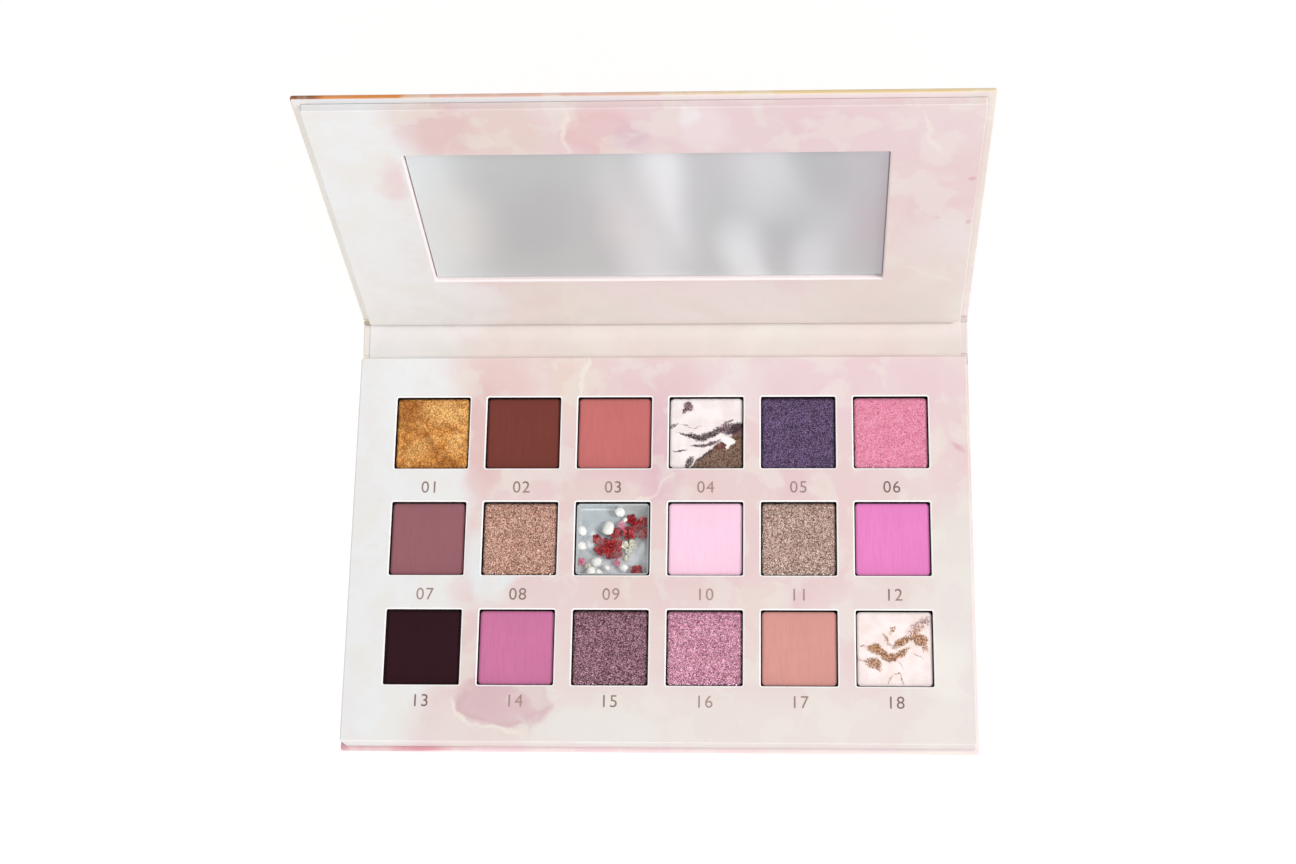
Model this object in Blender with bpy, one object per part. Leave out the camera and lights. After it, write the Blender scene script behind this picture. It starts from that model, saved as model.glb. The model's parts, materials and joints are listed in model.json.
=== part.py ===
"""Eyeshadow palette in a book-style paperboard case: six columns and three rows of pans under a mirror lid.

The cover is three wrapped boards, bottom, spine and lid, joined by two creases of paper that act as hinges.
A shallow tray stands on the bottom board and its face card has a window over each pan. The lid carries a
panel that frames the mirror. Small magnets in the tray and in the lid keep the case shut.

Frame: the origin is the middle of the tray's footprint, on the underside of the case. +X is the user's
right, +Y points back to the hinges and +Z points up. Lengths are in metres and angles in degrees.
"""

import math

import bmesh
import bpy

# Pans and the grid that holds them.
PAN_SIDE = 0.026
PAN_HEIGHT = 0.005
PAN_WALL = 0.0004
PAN_CORNER = 0.0016
CAKE_CLEARANCE = 0.0003
CAKE_EDGE_ROUND = 0.0003
COLUMNS = 6
ROWS = 3
COLUMN_PITCH = 0.0324
ROW_PITCH = 0.0384
GRID_SHIFT = 0.0023
WINDOW_SIDE = 0.0267
WINDOW_CORNER = 0.0009
WELL_SIDE = 0.0272
WELL_CORNER = 0.0018
CORNER_STEPS = 2

# Tray and cover boards.
TRAY_WIDTH = 0.216
TRAY_DEPTH = 0.1376
TRAY_TOP = 0.012
TRAY_WALL = 0.002
FACE_CARD = 0.0009
FLOOR_BOARD = 0.0012
RISER_BOARD = 0.0026
COVER_BOARD = 0.0015
COVER_OVERHANG = 0.0015
GLUE_LINE = 0.0002
INNER_CLEARANCE = 0.0003

# Creases: the hinge line behind the tray, and how far each board's edge stays from its hinge line.
HINGE_SETBACK = 0.0025
BOARD_SETBACK = 0.0018
CREASE_PAPER = 0.0003

# Lid panel, mirror and magnets.
CLOSED_GAP = 0.0004
LID_PANEL = 0.0026
PANEL_INSET = 0.0028
PANEL_START = 0.0022
MIRROR_OPENING_WIDTH = 0.156
MIRROR_OPENING_HEIGHT = 0.079
MIRROR_CENTRE = 0.0733
MIRROR_CORNER = 0.0006
MIRROR_GLASS = 0.0009
MIRROR_CLEARANCE = 0.0003
MIRROR_TAPE = 0.0002
TAPE_GAP = 0.0001
TAPE_BORDER = 0.004
LINER_CARD = 0.0003
LINER_SIDE_INSET = 0.0025
MAGNET_RADIUS = 0.004
MAGNET_HEIGHT = 0.0015
MAGNET_SIDES = 16
MAGNET_X = 0.06
MAGNET_FROM_FRONT = 0.009
POCKET_RADIUS = 0.0043
POCKET_DEPTH = 0.002

# Modelling aids: how far a cutter passes through a face, the angle left sharp, and the size of an empty.
CUT_MARGIN = 0.001
SHARP_ANGLE = 40.0
HINGE_MARKER = 0.02

# Rest pose: the spine leans back almost to the table and the lid stands up from it.
SPINE_ABOVE_TABLE = 10.0
LID_ABOVE_TABLE = 80.0

# Worked out from the sizes above.
COVER_WIDTH = TRAY_WIDTH + 2 * COVER_OVERHANG
FRONT_EDGE = -TRAY_DEPTH / 2 - COVER_OVERHANG
HINGE_Y = TRAY_DEPTH / 2 + HINGE_SETBACK
HINGE_Z = COVER_BOARD / 2
FACE_BOTTOM = TRAY_TOP - FACE_CARD
TRAY_FLOOR = COVER_BOARD + GLUE_LINE
WALL_TOP = FACE_BOTTOM - GLUE_LINE
RISER_BOTTOM = TRAY_FLOOR + FLOOR_BOARD + GLUE_LINE
PAN_BOTTOM = RISER_BOTTOM + RISER_BOARD + GLUE_LINE
PANEL_BOTTOM = COVER_BOARD / 2 + GLUE_LINE
PANEL_TOP = PANEL_BOTTOM + LID_PANEL
SPINE_LENGTH = TRAY_TOP + CLOSED_GAP + PANEL_TOP - HINGE_Z
LID_LENGTH = HINGE_Y - FRONT_EDGE
MAGNET_Y = -TRAY_DEPTH / 2 + MAGNET_FROM_FRONT
LID_MAGNET_Y = HINGE_Y - MAGNET_Y

# Pigment of each pan, back row first and left to right: colour, roughness, metallic.
SHADES = (
    ((0.58, 0.26, 0.05), 0.35, 0.7),
    ((0.21, 0.06, 0.045), 0.9, 0.0),
    ((0.57, 0.17, 0.16), 0.9, 0.0),
    ((0.85, 0.80, 0.76), 0.8, 0.0),
    ((0.07, 0.05, 0.15), 0.45, 0.5),
    ((0.78, 0.21, 0.37), 0.45, 0.4),
    ((0.29, 0.11, 0.13), 0.9, 0.0),
    ((0.48, 0.24, 0.17), 0.4, 0.6),
    ((0.75, 0.76, 0.78), 0.1, 0.0),
    ((0.96, 0.63, 0.79), 0.9, 0.0),
    ((0.35, 0.22, 0.16), 0.4, 0.6),
    ((0.75, 0.21, 0.53), 0.9, 0.0),
    ((0.04, 0.012, 0.018), 0.9, 0.0),
    ((0.60, 0.18, 0.37), 0.9, 0.0),
    ((0.21, 0.09, 0.13), 0.4, 0.6),
    ((0.48, 0.14, 0.26), 0.4, 0.6),
    ((0.71, 0.33, 0.28), 0.9, 0.0),
    ((0.87, 0.80, 0.75), 0.8, 0.0),
)
GEL_POSITION = 9


def clear_scene():
    for old in list(bpy.data.objects):
        bpy.data.objects.remove(old, do_unlink=True)


def make_material(name, colour, roughness, metallic=0.0):
    material = bpy.data.materials.new(name)
    material.use_nodes = True
    shader = material.node_tree.nodes["Principled BSDF"]
    shader.inputs["Base Color"].default_value = (*colour, 1.0)
    shader.inputs["Roughness"].default_value = roughness
    shader.inputs["Metallic"].default_value = metallic
    material.diffuse_color = (*colour, 1.0)
    return material


def rounded_rectangle(width, depth, radius=0.0, centre=(0.0, 0.0)):
    """Corner points of a rectangle, anticlockwise from +X +Y. A radius makes each corner an arc."""
    if radius <= 0.0:
        signs = ((1, 1), (-1, 1), (-1, -1), (1, -1))
        return [(centre[0] + sx * width / 2, centre[1] + sy * depth / 2) for sx, sy in signs]
    points = []
    for quarter in range(4):
        middle = math.radians(45 + 90 * quarter)
        arc_x = centre[0] + math.copysign(width / 2 - radius, math.cos(middle))
        arc_y = centre[1] + math.copysign(depth / 2 - radius, math.sin(middle))
        for step in range(CORNER_STEPS + 1):
            angle = math.radians(90 * (quarter + step / CORNER_STEPS))
            points.append((arc_x + radius * math.cos(angle), arc_y + radius * math.sin(angle)))
    return points


def circle(radius, centre):
    turns = [2 * math.pi * side / MAGNET_SIDES for side in range(MAGNET_SIDES)]
    return [(centre[0] + radius * math.cos(a), centre[1] + radius * math.sin(a)) for a in turns]


def at_height(outline, z):
    return [(x, y, z) for x, y in outline]


def add_stack(mesh, loops):
    """Adds one closed body: each loop is bridged to the next, and the first and last are capped."""
    rings = [[mesh.verts.new(point) for point in loop] for loop in loops]
    mesh.faces.new(list(reversed(rings[0])))
    mesh.faces.new(rings[-1])
    for lower, upper in zip(rings, rings[1:]):
        for i in range(len(lower)):
            j = (i + 1) % len(lower)
            mesh.faces.new((lower[i], lower[j], upper[j], upper[i]))


def finish_object(name, mesh, material, parent=None):
    bmesh.ops.recalc_face_normals(mesh, faces=mesh.faces)
    data = bpy.data.meshes.new(name)
    mesh.to_mesh(data)
    mesh.free()
    if material:
        data.materials.append(material)
    made = bpy.data.objects.new(name, data)
    bpy.context.scene.collection.objects.link(made)
    made.parent = parent
    return made


def solid(name, loops, material, parent=None):
    mesh = bmesh.new()
    add_stack(mesh, loops)
    return finish_object(name, mesh, material, parent)


def sheet(name, outline, low, high, material, parent=None):
    """A flat piece of one outline, from the height low to the height high."""
    return solid(name, (at_height(outline, low), at_height(outline, high)), material, parent)


def slab(name, span_x, span_y, span_z, material, parent=None):
    """A rectangular board between two values on each axis."""
    outline = rounded_rectangle(
        span_x[1] - span_x[0],
        span_y[1] - span_y[0],
        centre=(sum(span_x) / 2, sum(span_y) / 2),
    )
    return sheet(name, outline, *span_z, material, parent)


def centred(width, middle=0.0):
    return (middle - width / 2, middle + width / 2)


def cut(target, label, outlines, low, high):
    """Cuts the outlines out of the target, between two heights, with one hidden cutter."""
    mesh = bmesh.new()
    for outline in outlines:
        add_stack(mesh, (at_height(outline, low), at_height(outline, high)))
    cutter = finish_object(f"{target.name}_{label}_cutter", mesh, None, target.parent)
    cutter.display_type = "WIRE"
    cutter.hide_render = True
    modifier = target.modifiers.new(cutter.name, "BOOLEAN")
    modifier.operation = "DIFFERENCE"
    modifier.solver = "EXACT"
    modifier.object = cutter


def pan_centres():
    """Number and centre of every pan, back row first and left to right."""
    for row in range(ROWS):
        for column in range(COLUMNS):
            x = (column - (COLUMNS - 1) / 2) * COLUMN_PITCH
            y = ((ROWS - 1) / 2 - row) * ROW_PITCH + GRID_SHIFT
            yield row * COLUMNS + column + 1, (x, y)


def squares(side, corner):
    """One rounded square over every pan."""
    return [rounded_rectangle(side, side, corner, centre) for _, centre in pan_centres()]


def magnet_pockets(y):
    """The outlines of a left and a right magnet's pocket."""
    return [circle(POCKET_RADIUS, (side * MAGNET_X, y)) for side in (-1, 1)]


def build_bottom_cover(material):
    span_y = (FRONT_EDGE, HINGE_Y - BOARD_SETBACK)
    slab("bottom_cover_board", centred(COVER_WIDTH), span_y, (0.0, COVER_BOARD), material)


def build_tray_walls(material):
    span_z = (TRAY_FLOOR, WALL_TOP)
    half_width, half_depth = TRAY_WIDTH / 2, TRAY_DEPTH / 2
    front_back = centred(TRAY_WIDTH)
    between = centred(TRAY_DEPTH - 2 * TRAY_WALL - 2 * INNER_CLEARANCE)
    slab("tray_wall_front", front_back, (-half_depth, TRAY_WALL - half_depth), span_z, material)
    slab("tray_wall_back", front_back, (half_depth - TRAY_WALL, half_depth), span_z, material)
    slab("tray_wall_left", (-half_width, TRAY_WALL - half_width), between, span_z, material)
    slab("tray_wall_right", (half_width - TRAY_WALL, half_width), between, span_z, material)


def build_tray_inside(board, black_board):
    """The boards that fill the tray: its floor, the riser under the pans and the board round them."""
    inside = 2 * (TRAY_WALL + INNER_CLEARANCE)
    span_x, span_y = centred(TRAY_WIDTH - inside), centred(TRAY_DEPTH - inside)
    slab("tray_floor_board", span_x, span_y, (TRAY_FLOOR, TRAY_FLOOR + FLOOR_BOARD), board)
    slab("riser_board", span_x, span_y, (RISER_BOTTOM, RISER_BOTTOM + RISER_BOARD), board)
    well_board = slab("well_board", span_x, span_y, (PAN_BOTTOM, WALL_TOP), black_board)
    wells = squares(WELL_SIDE, WELL_CORNER)
    cut(well_board, "wells", wells, PAN_BOTTOM - CUT_MARGIN, WALL_TOP + CUT_MARGIN)
    pocket_floor = WALL_TOP - POCKET_DEPTH
    cut(well_board, "pockets", magnet_pockets(MAGNET_Y), pocket_floor, WALL_TOP + CUT_MARGIN)


def build_face_card(material):
    span_x, span_y = centred(TRAY_WIDTH), centred(TRAY_DEPTH)
    face_card = slab("face_card", span_x, span_y, (FACE_BOTTOM, TRAY_TOP), material)
    windows = squares(WINDOW_SIDE, WINDOW_CORNER)
    cut(face_card, "windows", windows, FACE_BOTTOM - CUT_MARGIN, TRAY_TOP + CUT_MARGIN)


def build_pan(number, centre, material):
    """A pressed tin: outer wall up, rim across, inner wall down to the floor."""
    outer = rounded_rectangle(PAN_SIDE, PAN_SIDE, PAN_CORNER, centre)
    inner_side = PAN_SIDE - 2 * PAN_WALL
    inner = rounded_rectangle(inner_side, inner_side, PAN_CORNER - PAN_WALL, centre)
    rim = PAN_BOTTOM + PAN_HEIGHT
    loops = (
        at_height(outer, PAN_BOTTOM),
        at_height(outer, rim),
        at_height(inner, rim),
        at_height(inner, PAN_BOTTOM + PAN_WALL),
    )
    solid(f"pan_{number:02d}", loops, material)


def build_cake(number, centre):
    """The pressed pigment in one pan, or the clear gel in the pan at GEL_POSITION."""
    kind = "gel" if number == GEL_POSITION else "cake"
    name = f"{kind}_{number:02d}"
    side = PAN_SIDE - 2 * (PAN_WALL + CAKE_CLEARANCE)
    corner = PAN_CORNER - PAN_WALL - CAKE_CLEARANCE
    top_side = side - 2 * CAKE_EDGE_ROUND
    outline = rounded_rectangle(side, side, corner, centre)
    top = rounded_rectangle(top_side, top_side, corner - CAKE_EDGE_ROUND, centre)
    low = PAN_BOTTOM + PAN_WALL + CAKE_CLEARANCE
    high = PAN_BOTTOM + PAN_HEIGHT - CAKE_CLEARANCE
    colour, roughness, metallic = SHADES[number - 1]
    loops = (at_height(outline, low), at_height(outline, high - CAKE_EDGE_ROUND), at_height(top, high))
    solid(name, loops, make_material(name, colour, roughness, metallic))


def build_magnets(prefix, y, low, material, parent=None):
    for side, sign in (("left", -1), ("right", 1)):
        outline = circle(MAGNET_RADIUS, (sign * MAGNET_X, y))
        made = sheet(f"{prefix}_magnet_{side}", outline, low, low + MAGNET_HEIGHT, material, parent)
        made.data.shade_smooth()
        made.data.set_sharp_from_angle(angle=math.radians(SHARP_ANGLE))


def hinge(name, location, degrees, parent=None):
    """An empty on a hinge line. Pieces under it lie along its +Y, with their inner face towards its +Z."""
    made = bpy.data.objects.new(name, None)
    bpy.context.scene.collection.objects.link(made)
    made.empty_display_size = HINGE_MARKER
    made.parent = parent
    made.location = location
    made.rotation_euler = (math.radians(degrees), 0.0, 0.0)
    return made


def build_crease(name, fold_at, arm, degrees, material, parent=None):
    """A strip of wrap paper across one hinge line: an arm along +Y, then an arm turned up by degrees."""
    turn = math.radians(degrees)
    half = CREASE_PAPER / 2
    mitre = half * math.tan(turn / 2)
    along = (math.cos(turn), math.sin(turn))
    across = (-math.sin(turn), math.cos(turn))
    y, z = fold_at
    inner = [
        (y - arm, z + half),
        (y - mitre, z + half),
        (y + arm * along[0] + half * across[0], z + arm * along[1] + half * across[1]),
    ]
    outer = [
        (y + arm * along[0] - half * across[0], z + arm * along[1] - half * across[1]),
        (y + mitre, z - half),
        (y - arm, z - half),
    ]
    profile = inner + outer
    loops = [[(x, py, pz) for py, pz in profile] for x in centred(COVER_WIDTH)]
    solid(name, loops, material, parent)


def build_spine(material, liner, parent):
    span_y = (BOARD_SETBACK, SPINE_LENGTH - BOARD_SETBACK)
    half = COVER_BOARD / 2
    slab("spine_board", centred(COVER_WIDTH), span_y, (-half, half), material, parent)
    liner_bottom = half + GLUE_LINE
    liner_span = centred(COVER_WIDTH - 2 * LINER_SIDE_INSET)
    liner_z = (liner_bottom, liner_bottom + LINER_CARD)
    slab("spine_liner", liner_span, span_y, liner_z, liner, parent)


def build_lid(material, panel_material, parent):
    half = COVER_BOARD / 2
    cover_y = (BOARD_SETBACK, LID_LENGTH)
    slab("lid_cover_board", centred(COVER_WIDTH), cover_y, (-half, half), material, parent)
    panel_x = centred(COVER_WIDTH - 2 * PANEL_INSET)
    panel_y = (PANEL_START, LID_LENGTH - PANEL_INSET)
    panel = slab("lid_panel", panel_x, panel_y, (PANEL_BOTTOM, PANEL_TOP), panel_material, parent)
    opening = rounded_rectangle(
        MIRROR_OPENING_WIDTH, MIRROR_OPENING_HEIGHT, MIRROR_CORNER, (0.0, MIRROR_CENTRE)
    )
    below = PANEL_BOTTOM - CUT_MARGIN
    cut(panel, "opening", [opening], below, PANEL_TOP + CUT_MARGIN)
    cut(panel, "pockets", magnet_pockets(LID_MAGNET_Y), below, PANEL_BOTTOM + POCKET_DEPTH)


def build_mirror(glass, tape, parent):
    width = MIRROR_OPENING_WIDTH - 2 * MIRROR_CLEARANCE
    height = MIRROR_OPENING_HEIGHT - 2 * MIRROR_CLEARANCE
    tape_low = COVER_BOARD / 2 + TAPE_GAP
    tape_high = tape_low + MIRROR_TAPE
    tape_x = centred(width - 2 * TAPE_BORDER)
    tape_y = centred(height - 2 * TAPE_BORDER, MIRROR_CENTRE)
    slab("mirror_tape", tape_x, tape_y, (tape_low, tape_high), tape, parent)
    low = tape_high + TAPE_GAP
    glass_y = centred(height, MIRROR_CENTRE)
    slab("mirror", centred(width), glass_y, (low, low + MIRROR_GLASS), glass, parent)


def main():
    clear_scene()
    cover_print = make_material("cover_print", (0.80, 0.62, 0.60), 0.45)
    face_print = make_material("face_print", (0.83, 0.76, 0.74), 0.5)
    greyboard = make_material("greyboard", (0.45, 0.42, 0.38), 0.9)
    black_board = make_material("black_board", (0.03, 0.03, 0.03), 0.9)
    tin = make_material("pan_tin", (0.72, 0.72, 0.72), 0.35, 1.0)
    mirror_glass = make_material("mirror_glass", (0.85, 0.86, 0.87), 0.03, 1.0)
    foam_tape = make_material("foam_tape", (0.85, 0.85, 0.83), 0.8)
    magnet_steel = make_material("magnet_plating", (0.6, 0.6, 0.62), 0.3, 1.0)

    build_bottom_cover(cover_print)
    build_tray_walls(face_print)
    build_tray_inside(greyboard, black_board)
    build_face_card(face_print)
    for number, centre in pan_centres():
        build_pan(number, centre, tin)
        build_cake(number, centre)
    pocket_floor = WALL_TOP - POCKET_DEPTH
    build_magnets("tray", MAGNET_Y, pocket_floor + GLUE_LINE, magnet_steel)

    arm = BOARD_SETBACK - GLUE_LINE
    spine_hinge = hinge("spine_hinge", (0.0, HINGE_Y, HINGE_Z), SPINE_ABOVE_TABLE)
    build_crease("spine_crease_paper", (HINGE_Y, HINGE_Z), arm, SPINE_ABOVE_TABLE, cover_print)
    build_spine(cover_print, face_print, spine_hinge)

    lid_turn = LID_ABOVE_TABLE - SPINE_ABOVE_TABLE
    lid_hinge = hinge("lid_hinge", (0.0, SPINE_LENGTH, 0.0), lid_turn, spine_hinge)
    build_crease("lid_crease_paper", (SPINE_LENGTH, 0.0), arm, lid_turn, cover_print, spine_hinge)
    build_lid(cover_print, face_print, lid_hinge)
    build_mirror(mirror_glass, foam_tape, lid_hinge)
    lid_pocket = PANEL_BOTTOM + GLUE_LINE
    build_magnets("lid", LID_MAGNET_Y, lid_pocket, magnet_steel, lid_hinge)


main()
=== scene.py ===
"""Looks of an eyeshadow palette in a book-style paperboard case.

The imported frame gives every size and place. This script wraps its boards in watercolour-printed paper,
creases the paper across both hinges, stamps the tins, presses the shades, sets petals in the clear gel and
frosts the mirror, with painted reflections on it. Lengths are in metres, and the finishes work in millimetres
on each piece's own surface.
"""

import json
import logging
import math
from collections.abc import Callable, Iterator, Sequence
from dataclasses import dataclass
from enum import Enum

import bmesh
import bpy
from mathutils import Euler, Matrix, Vector, noise


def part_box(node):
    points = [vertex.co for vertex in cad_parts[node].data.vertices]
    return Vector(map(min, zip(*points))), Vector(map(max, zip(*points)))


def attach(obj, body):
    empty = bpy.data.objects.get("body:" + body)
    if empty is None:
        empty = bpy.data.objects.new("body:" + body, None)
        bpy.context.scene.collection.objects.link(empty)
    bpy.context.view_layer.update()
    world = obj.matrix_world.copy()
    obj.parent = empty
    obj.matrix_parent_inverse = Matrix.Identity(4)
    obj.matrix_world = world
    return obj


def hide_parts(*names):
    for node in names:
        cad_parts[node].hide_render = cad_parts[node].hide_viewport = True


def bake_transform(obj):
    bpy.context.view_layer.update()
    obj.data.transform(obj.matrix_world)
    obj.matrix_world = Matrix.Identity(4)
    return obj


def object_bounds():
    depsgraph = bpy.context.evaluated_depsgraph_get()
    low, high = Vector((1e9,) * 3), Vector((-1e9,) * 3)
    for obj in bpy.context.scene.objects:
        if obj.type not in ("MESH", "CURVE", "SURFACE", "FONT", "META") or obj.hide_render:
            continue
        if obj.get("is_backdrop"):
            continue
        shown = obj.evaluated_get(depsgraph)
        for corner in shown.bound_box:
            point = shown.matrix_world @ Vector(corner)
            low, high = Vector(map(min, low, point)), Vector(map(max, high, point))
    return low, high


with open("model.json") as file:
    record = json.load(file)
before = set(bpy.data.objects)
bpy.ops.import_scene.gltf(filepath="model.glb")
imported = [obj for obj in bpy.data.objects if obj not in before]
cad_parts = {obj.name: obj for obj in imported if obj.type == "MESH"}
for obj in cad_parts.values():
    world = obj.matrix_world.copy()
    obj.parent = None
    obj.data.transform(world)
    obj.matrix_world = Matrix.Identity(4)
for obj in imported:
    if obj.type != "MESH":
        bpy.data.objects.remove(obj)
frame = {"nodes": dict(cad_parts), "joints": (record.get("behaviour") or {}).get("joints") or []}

CAD_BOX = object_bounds()
LOG = logging.getLogger("palette")

MM = 0.001
PAN_COUNT = 18
PANS_IN_ROW = 6
GEL_NUMBER = 9
CORNER_STEPS = 6
EDGE_STEPS = 4
SHARP_ANGLE = math.radians(35)
POWDER_SHARP_ANGLE = math.radians(60)
GEL_SHARP_ANGLE = math.radians(50)
LEAST_RADIUS = 0.02 * MM
# Just under half of a square's side, so that a round outline keeps no two points in one place.
ROUND_SHARE = 0.4999
CUT_MARGIN = 1.0 * MM

Colour = tuple[float, float, float]
Point = tuple[float, float]
Socket = bpy.types.NodeSocket
Value = Socket | float | tuple[float, ...]
Piece = bpy.types.Object
Material = bpy.types.Material


def ink(code: str) -> Colour:
    """Turns a six-digit sRGB code into a linear colour.

    Args:
        code: red, green and blue as two hexadecimal digits each.

    Returns:
        The linear red, green and blue.
    """
    values = [int(code[i:i + 2], 16) / 255 for i in (0, 2, 4)]
    return tuple(v / 12.92 if v <= 0.04045 else ((v + 0.055) / 1.055) ** 2.4 for v in values)


# ----------------------------------------------------------------------------------------------------
# Node wiring
# ----------------------------------------------------------------------------------------------------


class Space(Enum):
    """Where a finish takes its coordinates from."""

    OWN = "Object"
    SHEET = "UV"


class Wiring:
    """A node tree with short calls for the nodes that the finishes share."""

    def __init__(self, tree: bpy.types.NodeTree) -> None:
        """Keeps the tree that the nodes go into."""
        self.tree = tree

    def node(self, kind: str, **settings: object) -> bpy.types.Node:
        """Adds one node.

        Args:
            kind: the node's type after "ShaderNode".
            **settings: properties to set on it.

        Returns:
            The node.
        """
        made = self.tree.nodes.new(f"ShaderNode{kind}")
        for name, value in settings.items():
            setattr(made, name, value)
        return made

    def feed(self, socket: Socket, value: Value) -> None:
        """Links a socket to an input, or sets the input to a number or colour.

        Args:
            socket: the input.
            value: an output socket, a number, or a tuple.
        """
        if isinstance(value, bpy.types.NodeSocket):
            self.tree.links.new(value, socket)
        elif socket.type == "RGBA":
            socket.default_value = (*value, 1.0)
        else:
            socket.default_value = value

    def math(self, operation: str, first: Value, second: Value = 0.0) -> Socket:
        """Adds a Math node.

        Args:
            operation: its operation.
            first: the first operand.
            second: the second operand.

        Returns:
            Its output.
        """
        made = self.node("Math", operation=operation)
        self.feed(made.inputs[0], first)
        self.feed(made.inputs[1], second)
        return made.outputs[0]

    def vector(self, operation: str, first: Value, second: Value = (0.0, 0.0, 0.0)) -> Socket:
        """Adds a Vector Math node.

        Args:
            operation: its operation.
            first: the first vector.
            second: the second vector, or the factor of SCALE.

        Returns:
            Its vector output, or its value output for LENGTH.
        """
        made = self.node("VectorMath", operation=operation)
        self.feed(made.inputs[0], first)
        if operation == "SCALE":
            self.feed(made.inputs["Scale"], second)
        else:
            self.feed(made.inputs[1], second)
        return made.outputs["Value" if operation == "LENGTH" else "Vector"]

    def noise(
        self, point: Socket, scale: float, detail: float = 3.0, roughness: float = 0.5
    ) -> bpy.types.Node:
        """Adds a Noise node.

        Args:
            point: its coordinates.
            scale: its scale.
            detail: its octaves.
            roughness: how strong the finer octaves are.

        Returns:
            The node, with a value at output 0 and a colour at output 1.
        """
        made = self.node("TexNoise")
        self.feed(made.inputs["Vector"], point)
        self.feed(made.inputs["Scale"], scale)
        self.feed(made.inputs["Detail"], detail)
        self.feed(made.inputs["Roughness"], roughness)
        return made

    def cells(self, point: Socket, scale: float) -> bpy.types.Node:
        """Adds a Voronoi node, whose cells are the flakes of a glitter.

        Args:
            point: its coordinates.
            scale: cells per millimetre.

        Returns:
            The node.
        """
        made = self.node("TexVoronoi")
        self.feed(made.inputs["Vector"], point)
        self.feed(made.inputs["Scale"], scale)
        return made

    def remap(self, value: Value, low: Value, high: Value, to: Point = (0.0, 1.0)) -> Socket:
        """Maps a value smoothly from one range to another.

        Args:
            value: the value.
            low: the end of its range that gives the first of to.
            high: the end of its range that gives the second of to.
            to: the new range.

        Returns:
            The mapped value.
        """
        made = self.node("MapRange", interpolation_type="SMOOTHSTEP")
        for index, given in enumerate((value, low, high, *to)):
            self.feed(made.inputs[index], given)
        return made.outputs[0]

    def mix(self, factor: Value, first: Value, second: Value, blend: str = "MIX") -> Socket:
        """Mixes two colours.

        Args:
            factor: share of the second colour.
            first: the first colour.
            second: the second colour.
            blend: how they are mixed.

        Returns:
            The mixed colour.
        """
        made = self.node("Mix", data_type="RGBA", blend_type=blend)
        self.feed(made.inputs[0], factor)
        self.feed(made.inputs[6], first)
        self.feed(made.inputs[7], second)
        return made.outputs[2]

    def ramp(self, factor: Value, stops: Sequence[tuple[float, Colour]]) -> Socket:
        """Adds a colour ramp.

        Args:
            factor: the place on the ramp.
            stops: place and colour of each stop, in order.

        Returns:
            The colour.
        """
        made = self.node("ValToRGB")
        elements = made.color_ramp.elements
        while len(elements) < len(stops):
            elements.new(0.5)
        for element, (place, colour) in zip(elements, stops):
            element.position = place
            element.color = (*colour, 1.0)
        self.feed(made.inputs[0], factor)
        return made.outputs[0]

    def warp(self, point: Socket, scale: float, amount: float, detail: float = 2.0) -> Socket:
        """Pushes flat coordinates about, so that what is drawn on them gets an uneven edge.

        Args:
            point: flat coordinates in millimetres.
            scale: noise cells per millimetre.
            amount: the furthest push in millimetres.
            detail: octaves of the push.

        Returns:
            The pushed coordinates, still flat.
        """
        push = self.vector("SUBTRACT", self.noise(point, scale, detail, 0.55).outputs[1], (0.5, 0.5, 0.5))
        push = self.vector("MULTIPLY", push, (2 * amount, 2 * amount, 0.0))
        return self.vector("ADD", point, push)

    def bump(self, height: Socket, strength: float, distance: float, normal: Socket | None = None) -> Socket:
        """Adds a Bump node.

        Args:
            height: the height, from 0 to 1.
            strength: its strength.
            distance: height of the relief in millimetres.
            normal: a normal that this one builds on.

        Returns:
            The bumped normal.
        """
        made = self.node("Bump")
        self.feed(made.inputs["Height"], height)
        made.inputs["Strength"].default_value = strength
        made.inputs["Distance"].default_value = distance * MM
        if normal:
            self.feed(made.inputs["Normal"], normal)
        return made.outputs[0]


class Graph(Wiring):
    """The tree of one material and its shader."""

    def __init__(self, name: str) -> None:
        """Starts a material with its Principled shader.

        Args:
            name: the material's name.
        """
        self.material = bpy.data.materials.new(name)
        self.material.use_nodes = True
        super().__init__(self.material.node_tree)
        self.shader = self.tree.nodes["Principled BSDF"]

    def millimetres(self, space: Space = Space.OWN) -> Socket:
        """The surface's coordinates in millimetres."""
        return self.vector("SCALE", self.node("TexCoord").outputs[space.value], 1 / MM)

    def dress(self, **values: Value) -> Material:
        """Sets or links the shader's inputs.

        Args:
            **values: each input by its name, with _ for a space.

        Returns:
            The material.
        """
        for name, value in values.items():
            self.feed(self.shader.inputs[name.replace("_", " ")], value)
        return self.material


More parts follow.
